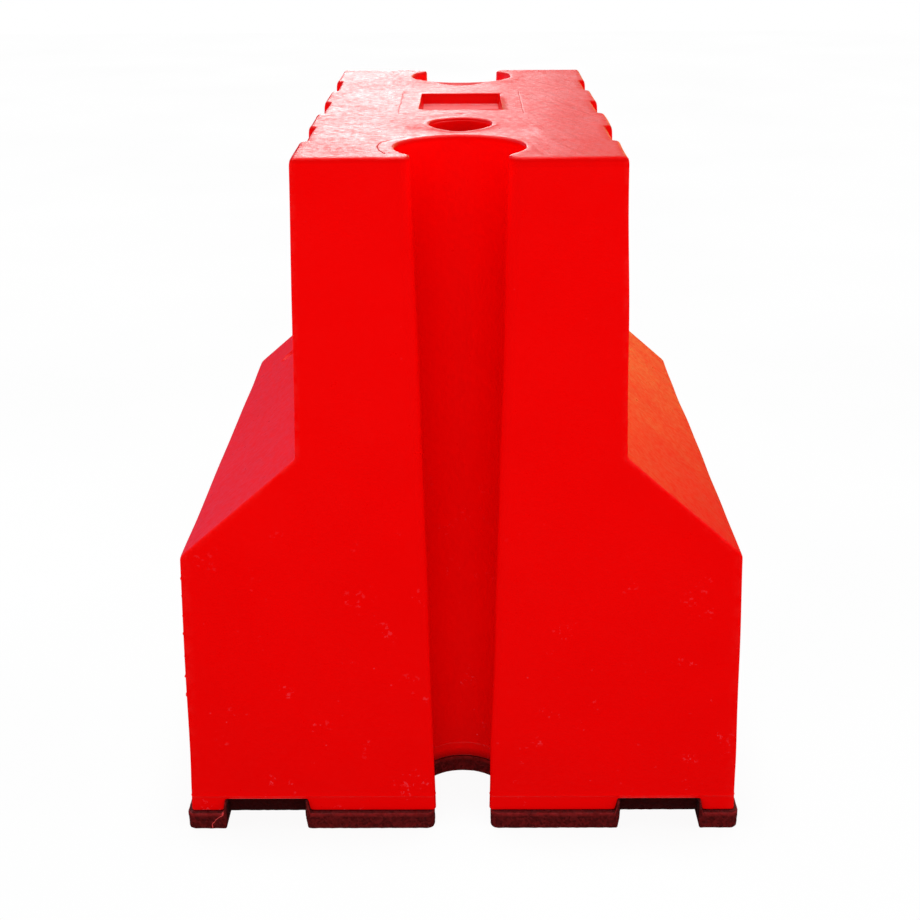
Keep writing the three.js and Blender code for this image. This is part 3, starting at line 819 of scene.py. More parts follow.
pad = Builder()
PR = 1.8
pad_rows = []
for k in range(4):
    a = math.pi / 2 * k / 3
    pad_rows.append(("low", PR * (1 - math.cos(a)), PR * (1 - math.sin(a))))
for t in (0.2, 0.4, 0.6, 0.8):
    pad_rows.append(("mid", t, 0.0))
for k in range(4):
    a = math.pi / 2 * k / 3
    pad_rows.append(("high", PR * (1 - math.sin(a)), PR * (1 - math.cos(a))))
pad_ring = []
for kind, h2, off in pad_rows:
    xy = pad_outline(off)
    face = (np.abs(xy[:, 0]) > 100) & (np.abs(xy[:, 0]) < PAD_X - PAD_CORNER - 0.01) & (np.abs(xy[:, 1]) > PAD_Y - 20)
    lo = np.where(face, pad_low(xy[:, 0]), 0.0)
    hi = np.where(face, pad_high(xy[:, 0]), PAD_T)
    if kind == "low":
        z = lo + h2
    elif kind == "high":
        z = hi - h2
    else:
        z = lo + PR + (hi - lo - 2 * PR) * h2
    pad_ring.append(np.column_stack([xy, z]))
pad_ring = np.array(pad_ring)
a3 = np.roll(pad_ring, -1, axis=1) - np.roll(pad_ring, 1, axis=1)
n3 = np.stack([a3[..., 1], -a3[..., 0]], -1)
n3 /= np.maximum(np.linalg.norm(n3, axis=-1, keepdims=True), 1e-9)
rough = crumb(pad_ring.reshape(-1, 3)).reshape(pad_ring.shape[:2])
pad_ring[..., :2] += n3 * (-0.28 + 0.26 * np.clip(rough, -1, 1))[..., None]
pr = pad.add(pad_ring).reshape(pad_ring.shape[:2])
pad.quads(pr)


def pad_lines(breaks, y):
    return [np.array([(sd * x, v2) for v2 in np.linspace(-y, y, 40)]) for sd in (-1, 1) for x in breaks]


bolts = []
for i in range(1, 9):
    lo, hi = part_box(f"pad_bolt_{i}")
    bolts.append(((lo.x + hi.x) / 2 / MM, (lo.y + hi.y) / 2 / MM))
# underside, with a sunk hole at each bolt
holes = []
small = circle[::3]
for x, y in bolts:
    rings3 = []
    for r, z in ((14.6, 0.0), (14.1, 0.6), (14.0, 2.0), (14.0, 8.2), (13.4, 8.9), (12.6, 9.0), (6.2, 9.0), (5.5, 9.6), (5.5, 21.0)):
        c = small * r + [x, y]
        rings3.append(np.column_stack([c, np.full(len(c), z)]))
    ids = np.array([pad.add(p) for p in rings3])
    pad.quads(ids)
    holes.append((ids[0], rings3[0][:, :2]))
gp = np.array([(x, y) for x in np.arange(-322, 323, 9.0) for y in np.arange(-338, 339, 9.0)])
ax = np.abs(gp[:, 0])
gp_low = gp[(np.min(np.abs(ax[:, None] - PAD_LOW[:, 0]), axis=1) > 3)]
fill(
    pad,
    (pr[0], pad_ring[0, :, :2]),
    holes,
    pad_lines(PAD_LOW[:, 0], PAD_Y - 8),
    gp_low,
    lambda p: np.column_stack([p, pad_low(p[:, 0]) + 0.12 * (1 + np.clip(crumb(np.column_stack([p, p[:, :1] * 0])), -1, 1))]),
    flip=True,
)
gp_high = gp[(np.min(np.abs(ax[:, None] - PAD_HIGH[:, 0]), axis=1) > 3)]
tops = []
for x, y in bolts:
    c = small * 5.5 + [x, y]
    ids = pad.add(np.column_stack([c, np.full(len(c), PAD_T)]))
    tops.append((ids, c))
fill(
    pad,
    (pr[-1], pad_ring[-1, :, :2]),
    tops,
    pad_lines(PAD_HIGH[:, 0], PAD_Y - 8),
    gp_high,
    lambda p: np.column_stack([p, pad_high(p[:, 0])]),
)
# painted highlight: a paler band on the pad's top rounded edge, kept in the same attribute as the tank's worn rims
edge = np.zeros(pad.count)
edge[: pr.size] = np.repeat(np.array([1.0 if kind == "high" and off < 1.5 else 0.0 for kind, _, off in pad_rows]), pr.shape[1])
Q = pad.points
# painted shade: the pad's channel strips at both ends, darkened in the material
shade = ((np.abs(Q[:, 0]) > 187.2) & (np.abs(Q[:, 0]) < 281.8) & (Q[:, 2] > 14.2) & (np.abs(Q[:, 1]) > 300)).astype(float)
pad_ob = pad.object("rubber_base", sharp=math.radians(60), attributes={"wear": edge, "shade": shade})
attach(pad_ob, "tank")
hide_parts("base_pad")
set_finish(pad_ob, "base_rubber")


# ------------------------------------------------------------------ turned pieces
def turned(builder, profile_pts, seg=72, axis="z", centre=(0, 0, 0), scallop=None):
    """Closed body of revolution from (radius, height) pairs, walked so that the outside is on the right going up."""
    a = 2 * np.pi * np.arange(seg) / seg
    rings4 = []
    for r, h3 in profile_pts:
        rr = np.full(seg, float(r))
        if scallop is not None:
            rr = rr + scallop(r, h3, a)
        if axis == "z":
            p = np.column_stack([rr * np.cos(a), rr * np.sin(a), np.full(seg, h3)])
        else:
            p = np.column_stack([np.full(seg, h3), rr * np.cos(a), rr * np.sin(a)])
        rings4.append(p + np.array(centre))
    ids = np.array([builder.add(p) for p in rings4])
    builder.quads(ids)
    return ids


def cap_end(builder, ids, point, flip):
    c = builder.add([point])[0]
    builder.fan(ids, c, flip)


def thread(builder, r_root, r_crest, pitch, h0, h1, axis="z", centre=(0, 0, 0), seg=72, width=0.5):
    """Helical ridge from h0 to h1, standing from r_root to r_crest, faded at both ends."""
    turns = (h1 - h0) / pitch
    n = int(seg * turns) + 1
    t = np.linspace(0, turns, n)
    a = 2 * np.pi * t
    h = h0 + pitch * t
    fade = smooth(t / 0.12) * smooth((turns - t) / 0.12)
    lines5 = []
    sgn = 1 if r_crest > r_root else -1
    for dh, f in ((-0.5, 0), (-0.22, 1), (0.22, 1), (0.5, 0)):
        r = r_root - 0.15 * sgn + (abs(r_crest - r_root) + 0.15) * sgn * f * fade
        hh = h + dh * pitch * width
        if axis == "z":
            p = np.column_stack([r * np.cos(a), r * np.sin(a), hh])
        else:
            p = np.column_stack([hh, r * np.cos(a), r * np.sin(a)])
        lines5.append(p + np.array(centre))
    ids = np.array([builder.add(p) for p in lines5])
    builder.quads(ids, closed=False, flip=sgn < 0)


C = (0, FILL_Y, 0)
# filler neck
b = Builder()
prof = [
    (27.6, 752.4), (28.2, 752.0), (35.4, 752.0), (36.0, 752.6), (36.0, 762.1), (35.6, 762.7), (31.2, 762.7), (30.7, 763.2),
    (30.7, 771.0), (30.3, 771.8), (29.6, 772.0), (28.6, 772.0), (27.9, 771.7), (27.5, 771.0), (27.5, 760.0), (27.6, 752.4),
]  # fmt: skip
turned(b, prof, 80, centre=C)
thread(b, 27.5, 26.3, 6.0, 755.0, 769.0, centre=C, seg=80)
neck_ob = b.object("filler_neck_ring", sharp=math.radians(35))
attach(neck_ob, "tank")
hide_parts("filler_neck")
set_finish(neck_ob, "black_plastic")

# filler gasket
b = Builder()
prof = [(26.7, 773.0), (26.7, 772.6), (27.1, 772.3), (31.3, 772.3), (31.8, 772.8), (31.8, 774.8), (31.3, 775.3), (27.1, 775.3), (26.7, 774.9), (26.7, 773.0)]
turned(b, prof, 72, centre=C)
ob = b.object("filler_seal", sharp=math.radians(35))
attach(ob, "filler_lift")
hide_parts("filler_gasket")
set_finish(ob, "seal_rubber")

# filler cap: ribbed crown, sunk middle crossed by a grip bar, threaded skirt
b = Builder()


def ribs(r, h3, a):
    return -0.35 * (0.5 + 0.5 * np.cos(48 * a)) if r > 31.9 and 776.4 < h3 < 779.8 else np.zeros(len(a))


prof = [
    (23.2, 754.0), (24.6, 754.1), (25.6, 755.2), (25.8, 756.4), (25.8, 775.6), (31.6, 775.6), (32.2, 775.9), (32.5, 776.5),
    (32.5, 777.6), (32.5, 778.8), (32.5, 779.5), (32.1, 780.3), (31.2, 780.9), (30.2, 781.0), (23.6, 781.0), (22.7, 780.6),
    (22.2, 779.6), (21.0, 769.0), (20.3, 763.4), (19.4, 762.3), (18.0, 762.0),
]  # fmt: skip
ids = turned(b, prof, 192, centre=C, scallop=ribs)
cap_end(b, ids[-1], (0, FILL_Y, 762.0), False)
cap_end(b, ids[0], (0, FILL_Y, 754.0), True)
thread(b, 25.8, 27.0, 6.0, 757.5, 771.5, centre=C, seg=80)
# grip bar with a rounded top, waisted for the fingers
nb = 41
xs = np.linspace(-21.6, 21.6, nb)
half = 3.4 + 0.9 * (xs / 21.6) ** 2
top = 781.6 - 0.8 * (1 - (xs / 21.6) ** 2)
sec = [(-1.0, 0.0), (-0.98, 0.55), (-0.93, 0.86), (-0.72, 0.97), (-0.35, 1.0), (0.35, 1.0), (0.72, 0.97), (0.93, 0.86), (0.98, 0.55), (1.0, 0.0)]
bars = []
for yy, zz2 in sec:
    bars.append(np.column_stack([xs, FILL_Y + yy * half, 761.0 + (top - 761.0) * zz2]))
ids = np.array([b.add(p) for p in bars])
b.quads(ids, closed=False, flip=True)
cap_ob = b.object("filler_cap_moulded", sharp=math.radians(35))
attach(cap_ob, "filler_cap")
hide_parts("filler_cap")
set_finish(cap_ob, "black_plastic")

# drain bush
D = (0, 0, DRAIN_Z)
F = DRAIN_FLOOR
b = Builder()
prof = [
    (16.5, F - 10), (16.5, F - 17.4), (17.1, F - 18), (25.4, F - 18), (26, F - 17.4), (26, F - 7.9), (25.4, F - 7.3), (21.2, F - 7.3), (20.7, F - 6.8),
    (20.7, F + 1.2), (20.2, F + 1.8), (19.6, F + 2.0), (17.6, F + 2.0), (16.9, F + 1.7), (16.5, F + 1.0), (16.5, F - 10),
]  # fmt: skip
turned(b, [(r, h) for r, h in prof], 72, axis="x", centre=D)
thread(b, 16.5, 15.6, 3.0, F - 15, F + 0.4, axis="x", centre=D)
ob = b.object("drain_bush_turned", sharp=math.radians(35))
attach(ob, "tank")
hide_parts("drain_bush")
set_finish(ob, "brass")

# drain gasket
b = Builder()
prof = [(15.7, F + 3.0), (15.7, F + 2.6), (16.1, F + 2.3), (21.5, F + 2.3), (22.0, F + 2.8), (22.0, F + 4.8), (21.5, F + 5.3), (16.1, F + 5.3), (15.7, F + 4.9), (15.7, F + 3.0)]
turned(b, prof, 64, axis="x", centre=D)
ob = b.object("drain_seal", sharp=math.radians(35))
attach(ob, "drain_slide")
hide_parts("drain_gasket")
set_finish(ob, "seal_rubber")

# drain plug: flanged, hexagon head with a dished, chamfered face
b = Builder()
prof = [(12.6, F - 15), (13.5, F - 14.8), (14.6, F - 13.6), (15, F - 12.6), (15, F + 5.6), (23.2, F + 5.6), (23.8, F + 5.9), (24, F + 6.5), (24, F + 9.6), (23.6, F + 10.6), (22.6, F + 11.3), (21.6, F + 11.5), (12.0, F + 11.5)]
ids = turned(b, prof, 96, axis="x", centre=D)
cap_end(b, ids[0], (F - 15, 0, DRAIN_Z), True)
thread(b, 15, 15.95, 3.0, F - 12.4, F + 4.4, axis="x", centre=D, seg=96)


def hexagon(radius, chamfer=0.0, seg=96):
    """A hexagon's outline rounded where its corners meet a chamfer cone of that radius."""
    a = 2 * np.pi * np.arange(seg) / seg
    k = np.mod(a, np.pi / 3) - np.pi / 6
    r = radius * math.cos(math.pi / 6) / np.cos(k)
    return np.minimum(r, chamfer) if chamfer else r


a96 = 2 * np.pi * np.arange(96) / 96
hexes = []
for r, x, ch in (
    (12.5, F + 11.0, 0), (12.5, F + 11.8, 0), (12.3, F + 15, 0), (12.05, F + 19.2, 0), (11.95, F + 20.6, 11.7),
    (11.9, F + 21.5, 11.1), (11.9, F + 22.0, 10.3), (11.9, F + 22.0, 8.6), (11.9, F + 21.2, 7.8), (11.9, F + 20.8, 6.6),
):  # fmt: skip
    rr = hexagon(r, ch)
    p = np.column_stack([np.full(96, x), rr * np.cos(a96), DRAIN_Z + rr * np.sin(a96)])
    hexes.append(b.add(p))
hexes = np.array(hexes)
b.quads(hexes)
cap_end(b, hexes[-1], (F + 20.8, 0, DRAIN_Z), False)
plug_ob = b.object("drain_plug_moulded", sharp=math.radians(30))
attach(plug_ob, "drain_plug")
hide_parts("drain_plug")
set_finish(plug_ob, "black_plastic")

# pad bolts and washers
for i, (x, y) in enumerate(bolts, 1):
    b = Builder()
    hx = []
    for r, z, ch in ((7.5, 6.4, 7.0), (7.5, 6.1, 0), (7.5, 2.3, 0), (7.5, 1.7, 7.15), (7.5, 1.15, 6.4), (7.5, 1.1, 5.0), (7.5, 1.35, 4.4), (7.5, 1.45, 3.0)):
        rr = hexagon(r, ch, 48)
        a48 = 2 * np.pi * np.arange(48) / 48 + 0.35 * i
        hx.append(b.add(np.column_stack([x + rr * np.cos(a48), y + rr * np.sin(a48), np.full(48, z)])))
    hx = np.array(hx)
    b.quads(hx, flip=True)
    cap_end(b, hx[-1], (x, y, 1.45), True)
    sh = turned(b, [(4.0, 44.0), (4.0, 43.9), (4.0, 6.2)], 32, centre=(x, y, 0))
    ob = b.object(f"pad_bolt_hex_{i}", sharp=math.radians(30))
    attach(ob, "tank")
    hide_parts(f"pad_bolt_{i}")
    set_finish(ob, "zinc_steel")
    b = Builder()
    turned(b, [(4.5, 7.4), (4.5, 7.0), (4.8, 6.7), (11.6, 6.7), (12.0, 7.0), (12.0, 8.4), (11.7, 8.7), (4.8, 8.7), (4.5, 8.4), (4.5, 7.4)], 48, centre=(x, y, 0))
    ob = b.object(f"pad_washer_turned_{i}", sharp=math.radians(30))
    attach(ob, "tank")
    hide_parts(f"pad_washer_{i}")
    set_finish(ob, "zinc_steel")


# ------------------------------------------------------------------ materials
class Nodes:
    def __init__(self, name):
        self.mat = bpy.data.materials.new(name)
        self.mat.use_nodes = True
        self.t = self.mat.node_tree
        self.bsdf = self.t.nodes["Principled BSDF"]
        self.co = self.t.nodes.new("ShaderNodeTexCoord").outputs["Object"]

    def link(self, a, b2):
        self.t.links.new(a, b2)

    def new(self, kind, **props):
        n = self.t.nodes.new(kind)
        for k, v2 in props.items():
            setattr(n, k, v2)
        return n

    def noise(self, scale, detail=3.0, rough=0.5, distortion=0.0, vector=None, stretch=None):
        src = vector or self.co
        if stretch:
            m = self.new("ShaderNodeMapping")
            m.inputs["Scale"].default_value = stretch
            self.link(src, m.inputs["Vector"])
            src = m.outputs["Vector"]
        n = self.new("ShaderNodeTexNoise")
        n.inputs["Scale"].default_value = scale
        n.inputs["Detail"].default_value = detail
        n.inputs["Roughness"].default_value = rough
        n.inputs["Distortion"].default_value = distortion
        self.link(src, n.inputs["Vector"])
        return n.outputs["Fac"]

    def voronoi(self, scale, feature="F1", output="Distance", randomness=1.0):
        n = self.new("ShaderNodeTexVoronoi", feature=feature)
        n.inputs["Scale"].default_value = scale
        n.inputs["Randomness"].default_value = randomness
        self.link(self.co, n.inputs["Vector"])
        return n.outputs[output]

    def ramp(self, value, stops):
        n = self.new("ShaderNodeValToRGB")
        while len(n.color_ramp.elements) < len(stops):
            n.color_ramp.elements.new(0.5)
        for e, (p, c) in zip(n.color_ramp.elements, stops):
            e.position = p
            e.color = (*c, 1) if hasattr(c, "__len__") else (c, c, c, 1)
        self.link(value, n.inputs["Fac"])
        return n.outputs["Color"]

    def range(self, value, a, b2, c, d, clamp=True):
        n = self.new("ShaderNodeMapRange", clamp=clamp)
        for key, val in zip(("From Min", "From Max", "To Min", "To Max"), (a, b2, c, d)):
            n.inputs[key].default_value = val
        self.link(value, n.inputs["Value"])
        return n.outputs["Result"]

    def math(self, op, a, b2=None):
        n = self.new("ShaderNodeMath", operation=op)
        for sock, val in zip(n.inputs, (a, b2)):
            if val is None:
                continue
            if hasattr(val, "is_output"):
                self.link(val, sock)
            else:
                sock.default_value = val
        return n.outputs[0]

    def mix(self, fac, a, b2, blend="MIX"):
        n = self.new("ShaderNodeMix", data_type="RGBA", blend_type=blend)
        for sock, val in ((n.inputs[0], fac), (n.inputs[6], a), (n.inputs[7], b2)):
            if hasattr(val, "is_output"):
                self.link(val, sock)
            elif hasattr(val, "__len__"):
                sock.default_value = (*val, 1)
            else:
                sock.default_value = val
        return n.outputs[2]

    def attribute(self, name):
        n = self.new("ShaderNodeAttribute", attribute_name=name)
        return n.outputs["Fac"]

    def xyz(self):
        n = self.new("ShaderNodeSeparateXYZ")
        self.link(self.co, n.inputs[0])
        return n.outputs

    def bump(self, layers):
        """layers: (height, strength, distance in metres), stacked."""
        last = None
        for height, strength, distance in layers:
            n = self.new("ShaderNodeBump")
            n.inputs["Strength"].default_value = strength
            n.inputs["Distance"].default_value = distance
            self.link(height, n.inputs["Height"])
            if last is not None:
                self.link(last, n.inputs["Normal"])
            last = n.outputs["Normal"]
        self.link(last, self.bsdf.inputs["Normal"])

    def set(self, **sockets):
        for k, v2 in sockets.items():
            key = k.replace("_", " ")
            if hasattr(v2, "is_output"):
                self.link(v2, self.bsdf.inputs[key])
            else:
                self.bsdf.inputs[key].default_value = v2


def red_plastic():
    m = Nodes("red_polyethylene_moulded")
    x, y, z = m.xyz()[:3]
    # broad, soft mottling of the pigment
    broad = m.noise(7.0, 4, 0.55, 0.6)
    fine = m.noise(60.0, 3, 0.6)
    color = m.ramp(broad, [(0.25, (0.945, 0.0, 0.0)), (0.5, (0.965, 0.0015, 0.0015)), (0.8, (0.98, 0.004, 0.004))])
    color = m.mix(m.range(fine, 0.3, 0.75, 0.0, 0.06), color, (0.86, 0.0, 0.0))
    # pale nicks: one in some of the cells of a coarse pattern, thicker low down
    cell = m.new("ShaderNodeTexVoronoi", feature="F1")
    cell.inputs["Scale"].default_value = 52.0
    warp = m.new("ShaderNodeVectorMath", operation="ADD")
    shake = m.new("ShaderNodeTexNoise")
    shake.inputs["Scale"].default_value = 240.0
    m.link(m.co, shake.inputs["Vector"])
    small = m.new("ShaderNodeVectorMath", operation="SCALE")
    m.link(shake.outputs["Color"], small.inputs[0])
    small.inputs["Scale"].default_value = 0.0022
    m.link(m.co, warp.inputs[0])
    m.link(small.outputs[0], warp.inputs[1])
    m.link(warp.outputs[0], cell.inputs["Vector"])
    pick = m.new("ShaderNodeSeparateColor")
    m.link(cell.outputs["Color"], pick.inputs[0])
    some = m.range(pick.outputs[0], 0.72, 0.74, 0.0, 1.0)
    nick = m.range(cell.outputs["Distance"], 0.02, 0.075, 1.0, 0.0)
    low = m.math("MULTIPLY", m.range(z, 0.06, 0.34, 1.0, 0.10), m.range(m.noise(14.0, 2, 0.5), 0.42, 0.58, 0.10, 1.0))
    nicks = m.math("MULTIPLY", m.math("MULTIPLY", some, nick), m.math("MULTIPLY", low, 0.62))
    scratch = m.range(m.noise(55.0, 5, 0.62, 0.7, stretch=(1.0, 1.0, 2.6)), 0.70, 0.73, 0.0, 0.30)
    scratch = m.math("MULTIPLY", scratch, low)
    chips = m.math("MULTIPLY", m.range(m.noise(210.0, 3, 0.6), 0.585, 0.64, 0.0, 0.40), m.range(m.noise(24.0, 2, 0.5), 0.615, 0.68, 0.0, 1.0))
    chips = m.math("MULTIPLY", chips, m.range(z, 0.10, 0.44, 1.0, 0.0))
    scratch = m.math("MAXIMUM", scratch, chips)
    color = m.mix(m.math("MAXIMUM", nicks, scratch), color, (0.98, 0.52, 0.72))
    # rims rub paler; the pale rims are partly a painted highlight along the rounded edges
    wear = m.math("MULTIPLY", m.attribute("wear"), m.range(m.noise(90.0, 5, 0.65), 0.40, 0.66, 0.0, 0.30))
    color = m.mix(wear, color, (0.98, 0.45, 0.42))
    # painted shade: the red darkens patchily towards the foot, outside the sockets
    inside = m.math("MULTIPLY", m.range(m.math("ABSOLUTE", x), 0.066, 0.070, 1.0, 0.0), m.range(m.math("ABSOLUTE", y), 0.330, 0.338, 1.0, 0.0))
    foot_shade = m.math("MULTIPLY", m.range(z, 0.022, 0.44, 0.165, 0.0), m.range(m.noise(9.0, 4, 0.55), 0.3, 0.7, 0.5, 1.0))
    foot_shade = m.math("MULTIPLY", foot_shade, m.math("SUBTRACT", 1.0, inside))
    color = m.mix(foot_shade, color, (0.55, 0.0, 0.0))
    # painted shade: the deck's top is painted a darker red to hold back the brighter light it gets from above
    color = m.mix(m.range(z, 0.794, 0.7975, 0.0, 0.85), color, (0.76, 0.0, 0.0))
    # painted shade: inside the sockets the red turns nearly black just above the pad, where shade falls at the foot
    color = m.mix(m.math("MULTIPLY", inside, m.range(z, 0.021, 0.035, 0.85, 0.0)), color, (0.16, 0.0, 0.0))
    # painted shade: darker red on the walls of the deck's seat
    color = m.mix(m.math("MULTIPLY", m.attribute("deep"), 0.62), color, (0.66, 0.0, 0.0))
    color = m.mix(m.math("MULTIPLY", m.attribute("dull"), 0.8), color, (0.97, 0.26, 0.27))
    # painted highlight: pale ragged lines on the well's near lip and the seat floor's back edge, which also reflect
    # more
    ragged = m.range(m.noise(90.0, 3, 0.6), 0.40, 0.62, 0.2, 1.0)
    color = m.mix(m.math("MULTIPLY", m.attribute("bead"), ragged), color, (0.98, 0.90, 0.90))
    swirl = m.noise(13.0, 5, 0.62, 3.2)
    rough = m.range(swirl, 0.30, 0.72, 0.32, 0.42)
    rough = m.math("ADD", rough, m.range(m.noise(150.0, 3, 0.6), 0.34, 0.68, -0.07, 0.09))
    dull = m.attribute("dull")
    rough = m.math("ADD", rough, m.math("MULTIPLY", dull, 0.26))
    shine = m.math("ADD", m.range(m.noise(8.0, 5, 0.6, 1.0), 0.32, 0.68, 0.40, 0.58), m.math("MULTIPLY", dull, 0.5))
    scuffed = m.math("MULTIPLY", m.attribute("scuff"), m.range(m.noise(22.0, 4, 0.6, 1.2), 0.34, 0.64, 0.31, 0.43))
    shine = m.math("SUBTRACT", shine, scuffed)
    rim = m.math("MULTIPLY", m.attribute("wear"), m.range(x, 0.08, 0.14, 0.0, 0.34))
    shine = m.math("MAXIMUM", m.math("SUBTRACT", shine, rim), 0.07)
    index = m.math("ADD", m.math("MULTIPLY", m.math("MAXIMUM", dull, m.attribute("bead")), 0.60), 1.45)
    m.set(Base_Color=color, Roughness=rough, IOR=index, Specular_IOR_Level=shine)
    # long drag marks in the right half of the deck
    turn = m.new("ShaderNodeMapping", vector_type="TEXTURE")
    turn.inputs["Rotation"].default_value = (0.0, 0.0, 0.33)
    turn.inputs["Scale"].default_value = (1.0, 5.5, 1.0)
    m.link(m.co, turn.inputs["Vector"])
    drag = m.noise(52.0, 4, 0.55, 0.8, vector=turn.outputs["Vector"])
    right = m.math("MULTIPLY", m.range(x, -0.03, 0.05, 0.0, 1.0), m.range(z, 0.790, 0.797, 0.0, 1.0))
    drag = m.math("MULTIPLY", drag, right)
    ripple = m.math("MULTIPLY", m.noise(21.0, 2, 0.5, 1.4, vector=turn.outputs["Vector"]), right)
    m.bump(
        [
            (m.noise(16.0, 3, 0.5, 1.5), 0.11, 0.0012),
            (ripple, 0.7, 0.0017),
            (drag, 0.6, 0.0010),
            (m.noise(150.0, 3, 0.6), 0.50, 0.0005),
            (m.noise(420.0, 3, 0.6), 0.55, 0.00024),
            (m.voronoi(180.0, output="Distance"), 0.08, 0.0002),
        ]
    )
    return m.mat


def rubber(name, dark, light, edge_light, crumb_scale=330.0):
    m = Nodes(name)
    cells = m.new("ShaderNodeTexVoronoi", feature="F1")
    cells.inputs["Scale"].default_value = crumb_scale
    m.link(m.co, cells.inputs["Vector"])
    sep = m.new("ShaderNodeSeparateColor")
    m.link(cells.outputs["Color"], sep.inputs[0])
    color = m.ramp(sep.outputs[0], [(0.0, dark), (0.55, tuple((a + b2) / 2 for a, b2 in zip(dark, light))), (1.0, light)])
    color = m.mix(m.range(m.noise(9.0, 4, 0.6), 0.35, 0.7, 0.0, 0.18), color, tuple(c * 0.6 for c in dark))
    # paler edges: on the pad's top rounded edge this is a painted highlight
    wear = m.math("MULTIPLY", m.attribute("wear"), m.range(m.noise(120.0, 4, 0.6), 0.32, 0.62, 0.15, 0.85))
    color = m.mix(wear, color, edge_light)
    scratch = m.range(m.noise(20.0, 8, 0.75, 3.0, stretch=(1.0, 1.0, 0.35)), 0.665, 0.70, 0.0, 0.55)
    color = m.mix(scratch, color, edge_light)
    # a pale hairline scratch across the left foot
    x, y, z = m.xyz()[:3]
    t = m.range(z, 0.002, 0.0195, 0.0, 1.0)
    path = m.math("ADD", m.math("MULTIPLY", m.math("MULTIPLY", t, t), 0.014), -0.3015)
    off = m.math("ABSOLUTE", m.math("SUBTRACT", m.math("ADD", x, m.range(m.noise(160.0, 2, 0.5), 0.3, 0.7, -0.0012, 0.0012)), path))
    line = m.math("MULTIPLY", m.range(off, 0.0003, 0.0008, 1.0, 0.0), m.range(y, -0.343, -0.341, 1.0, 0.0))
    line = m.math("MULTIPLY", line, m.range(z, 0.001, 0.003, 0.0, 0.75))
    color = m.mix(line, color, (0.90, 0.62, 0.62))
    # painted shade: the rubber in the channels, set back under the tank, is darkened where its shadow falls
    color = m.mix(m.math("MULTIPLY", m.attribute("shade"), 0.85), color, tuple(c * 0.25 for c in dark))
    m.set(Base_Color=color, Roughness=m.range(sep.outputs[1], 0.0, 1.0, 0.62, 0.86), Specular_IOR_Level=0.28)
    m.bump(
        [
            (cells.outputs["Distance"], 0.55, 0.0009),
            (m.noise(1100.0, 2, 0.5), 0.25, 0.0002),
            (m.noise(60.0, 4, 0.6), 0.30, 0.0008),
        ]
    )
    return m.mat


def moulded_black():
    m = Nodes("black_plastic_moulded")
    n = m.noise(45.0, 4, 0.6)
    color = m.ramp(n, [(0.3, (0.010, 0.010, 0.011)), (0.75, (0.024, 0.024, 0.025))])
    color = m.mix(m.range(m.noise(60.0, 6, 0.7, 2.0), 0.64, 0.70, 0.0, 0.5), color, (0.10, 0.10, 0.10))
    m.set(Base_Color=color, Roughness=m.range(m.noise(30.0, 3, 0.5), 0.3, 0.7, 0.36, 0.55))
    m.bump([(m.noise(900.0, 2, 0.5), 0.28, 0.00012), (m.noise(80.0, 2, 0.5), 0.1, 0.0004)])
    return m.mat


def seal():
    m = Nodes("seal_rubber_black")
    n = m.noise(200.0, 4, 0.6)
    color = m.ramp(n, [(0.3, (0.006, 0.006, 0.006)), (0.8, (0.018, 0.017, 0.017))])
    m.set(Base_Color=color, Roughness=m.range(n, 0.3, 0.7, 0.65, 0.85), Specular_IOR_Level=0.3)
    m.bump([(m.noise(1400.0, 2, 0.5), 0.2, 0.0001)])
    return m.mat


def metal(name, a, b2, rough, axis_scale):
    m = Nodes(name)
    n = m.noise(70.0, 5, 0.6)
    turned_marks = m.noise(300.0, 2, 0.5, stretch=axis_scale)
    color = m.ramp(n, [(0.3, a), (0.75, b2)])
    color = m.mix(m.range(m.noise(150.0, 5, 0.7), 0.56, 0.68, 0.0, 0.55), color, tuple(c * 0.45 for c in a))
    m.set(Base_Color=color, Metallic=1.0, Roughness=m.range(turned_marks, 0.3, 0.7, rough - 0.08, rough + 0.12))
    m.bump([(turned_marks, 0.18, 0.00015), (m.noise(600.0, 2, 0.5), 0.12, 0.0001)])
    return m.mat


RED = red_plastic()
RUBBER = rubber("base_rubber_crumb", (0.052, 0.019, 0.020), (0.128, 0.052, 0.054), (0.24, 0.086, 0.090))
BLACK = moulded_black()
SEAL = seal()
BRASS = metal("brass_turned", (0.50, 0.31, 0.10), (0.62, 0.42, 0.17), 0.34, (6.0, 0.4, 0.4))
ZINC = metal("zinc_steel_plated", (0.46, 0.46, 0.44), (0.62, 0.61, 0.57), 0.36, (1.0, 1.0, 4.0))
by_slot = {
    "red_polyethylene": RED,
    "base_rubber": RUBBER,
    "black_plastic": BLACK,
    "seal_rubber": SEAL,
    "brass": BRASS,
    "zinc_steel": ZINC,
}
slot_of = {p["node"]: p["material_slot"] for p in frame["record"]["subparts"]}


def paint(ob, mat):
    ob.data.materials.clear()
    ob.data.materials.append(mat)


for node, ob in frame["nodes"].items():
    paint(ob, by_slot[slot_of[node]])
for ob in list(bpy.context.scene.objects):
    if ob.type == "MESH" and "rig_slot" in ob:
        paint(ob, by_slot[ob["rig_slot"]])

# light that matt surfaces get: its colour, and how much of it comes up off the floor
TINT = (1.0, 0.10, 0.10)
FLOOR_LIGHT = 0.42

# ------------------------------------------------------------------ floor
fl = Builder()
gx = np.linspace(-9000, 9000, 25)
gy = np.linspace(-9000, 9000, 25)
gxx, gyy = np.meshgrid(gx, gy)
ids = fl.add(np.column_stack([gxx.ravel(), gyy.ravel(), np.full(gxx.size, -0.4)])).reshape(25, 25)
fl.quads(ids, closed=False)
floor = fl.object("studio_floor")
mf = Nodes("studio_floor_paint")
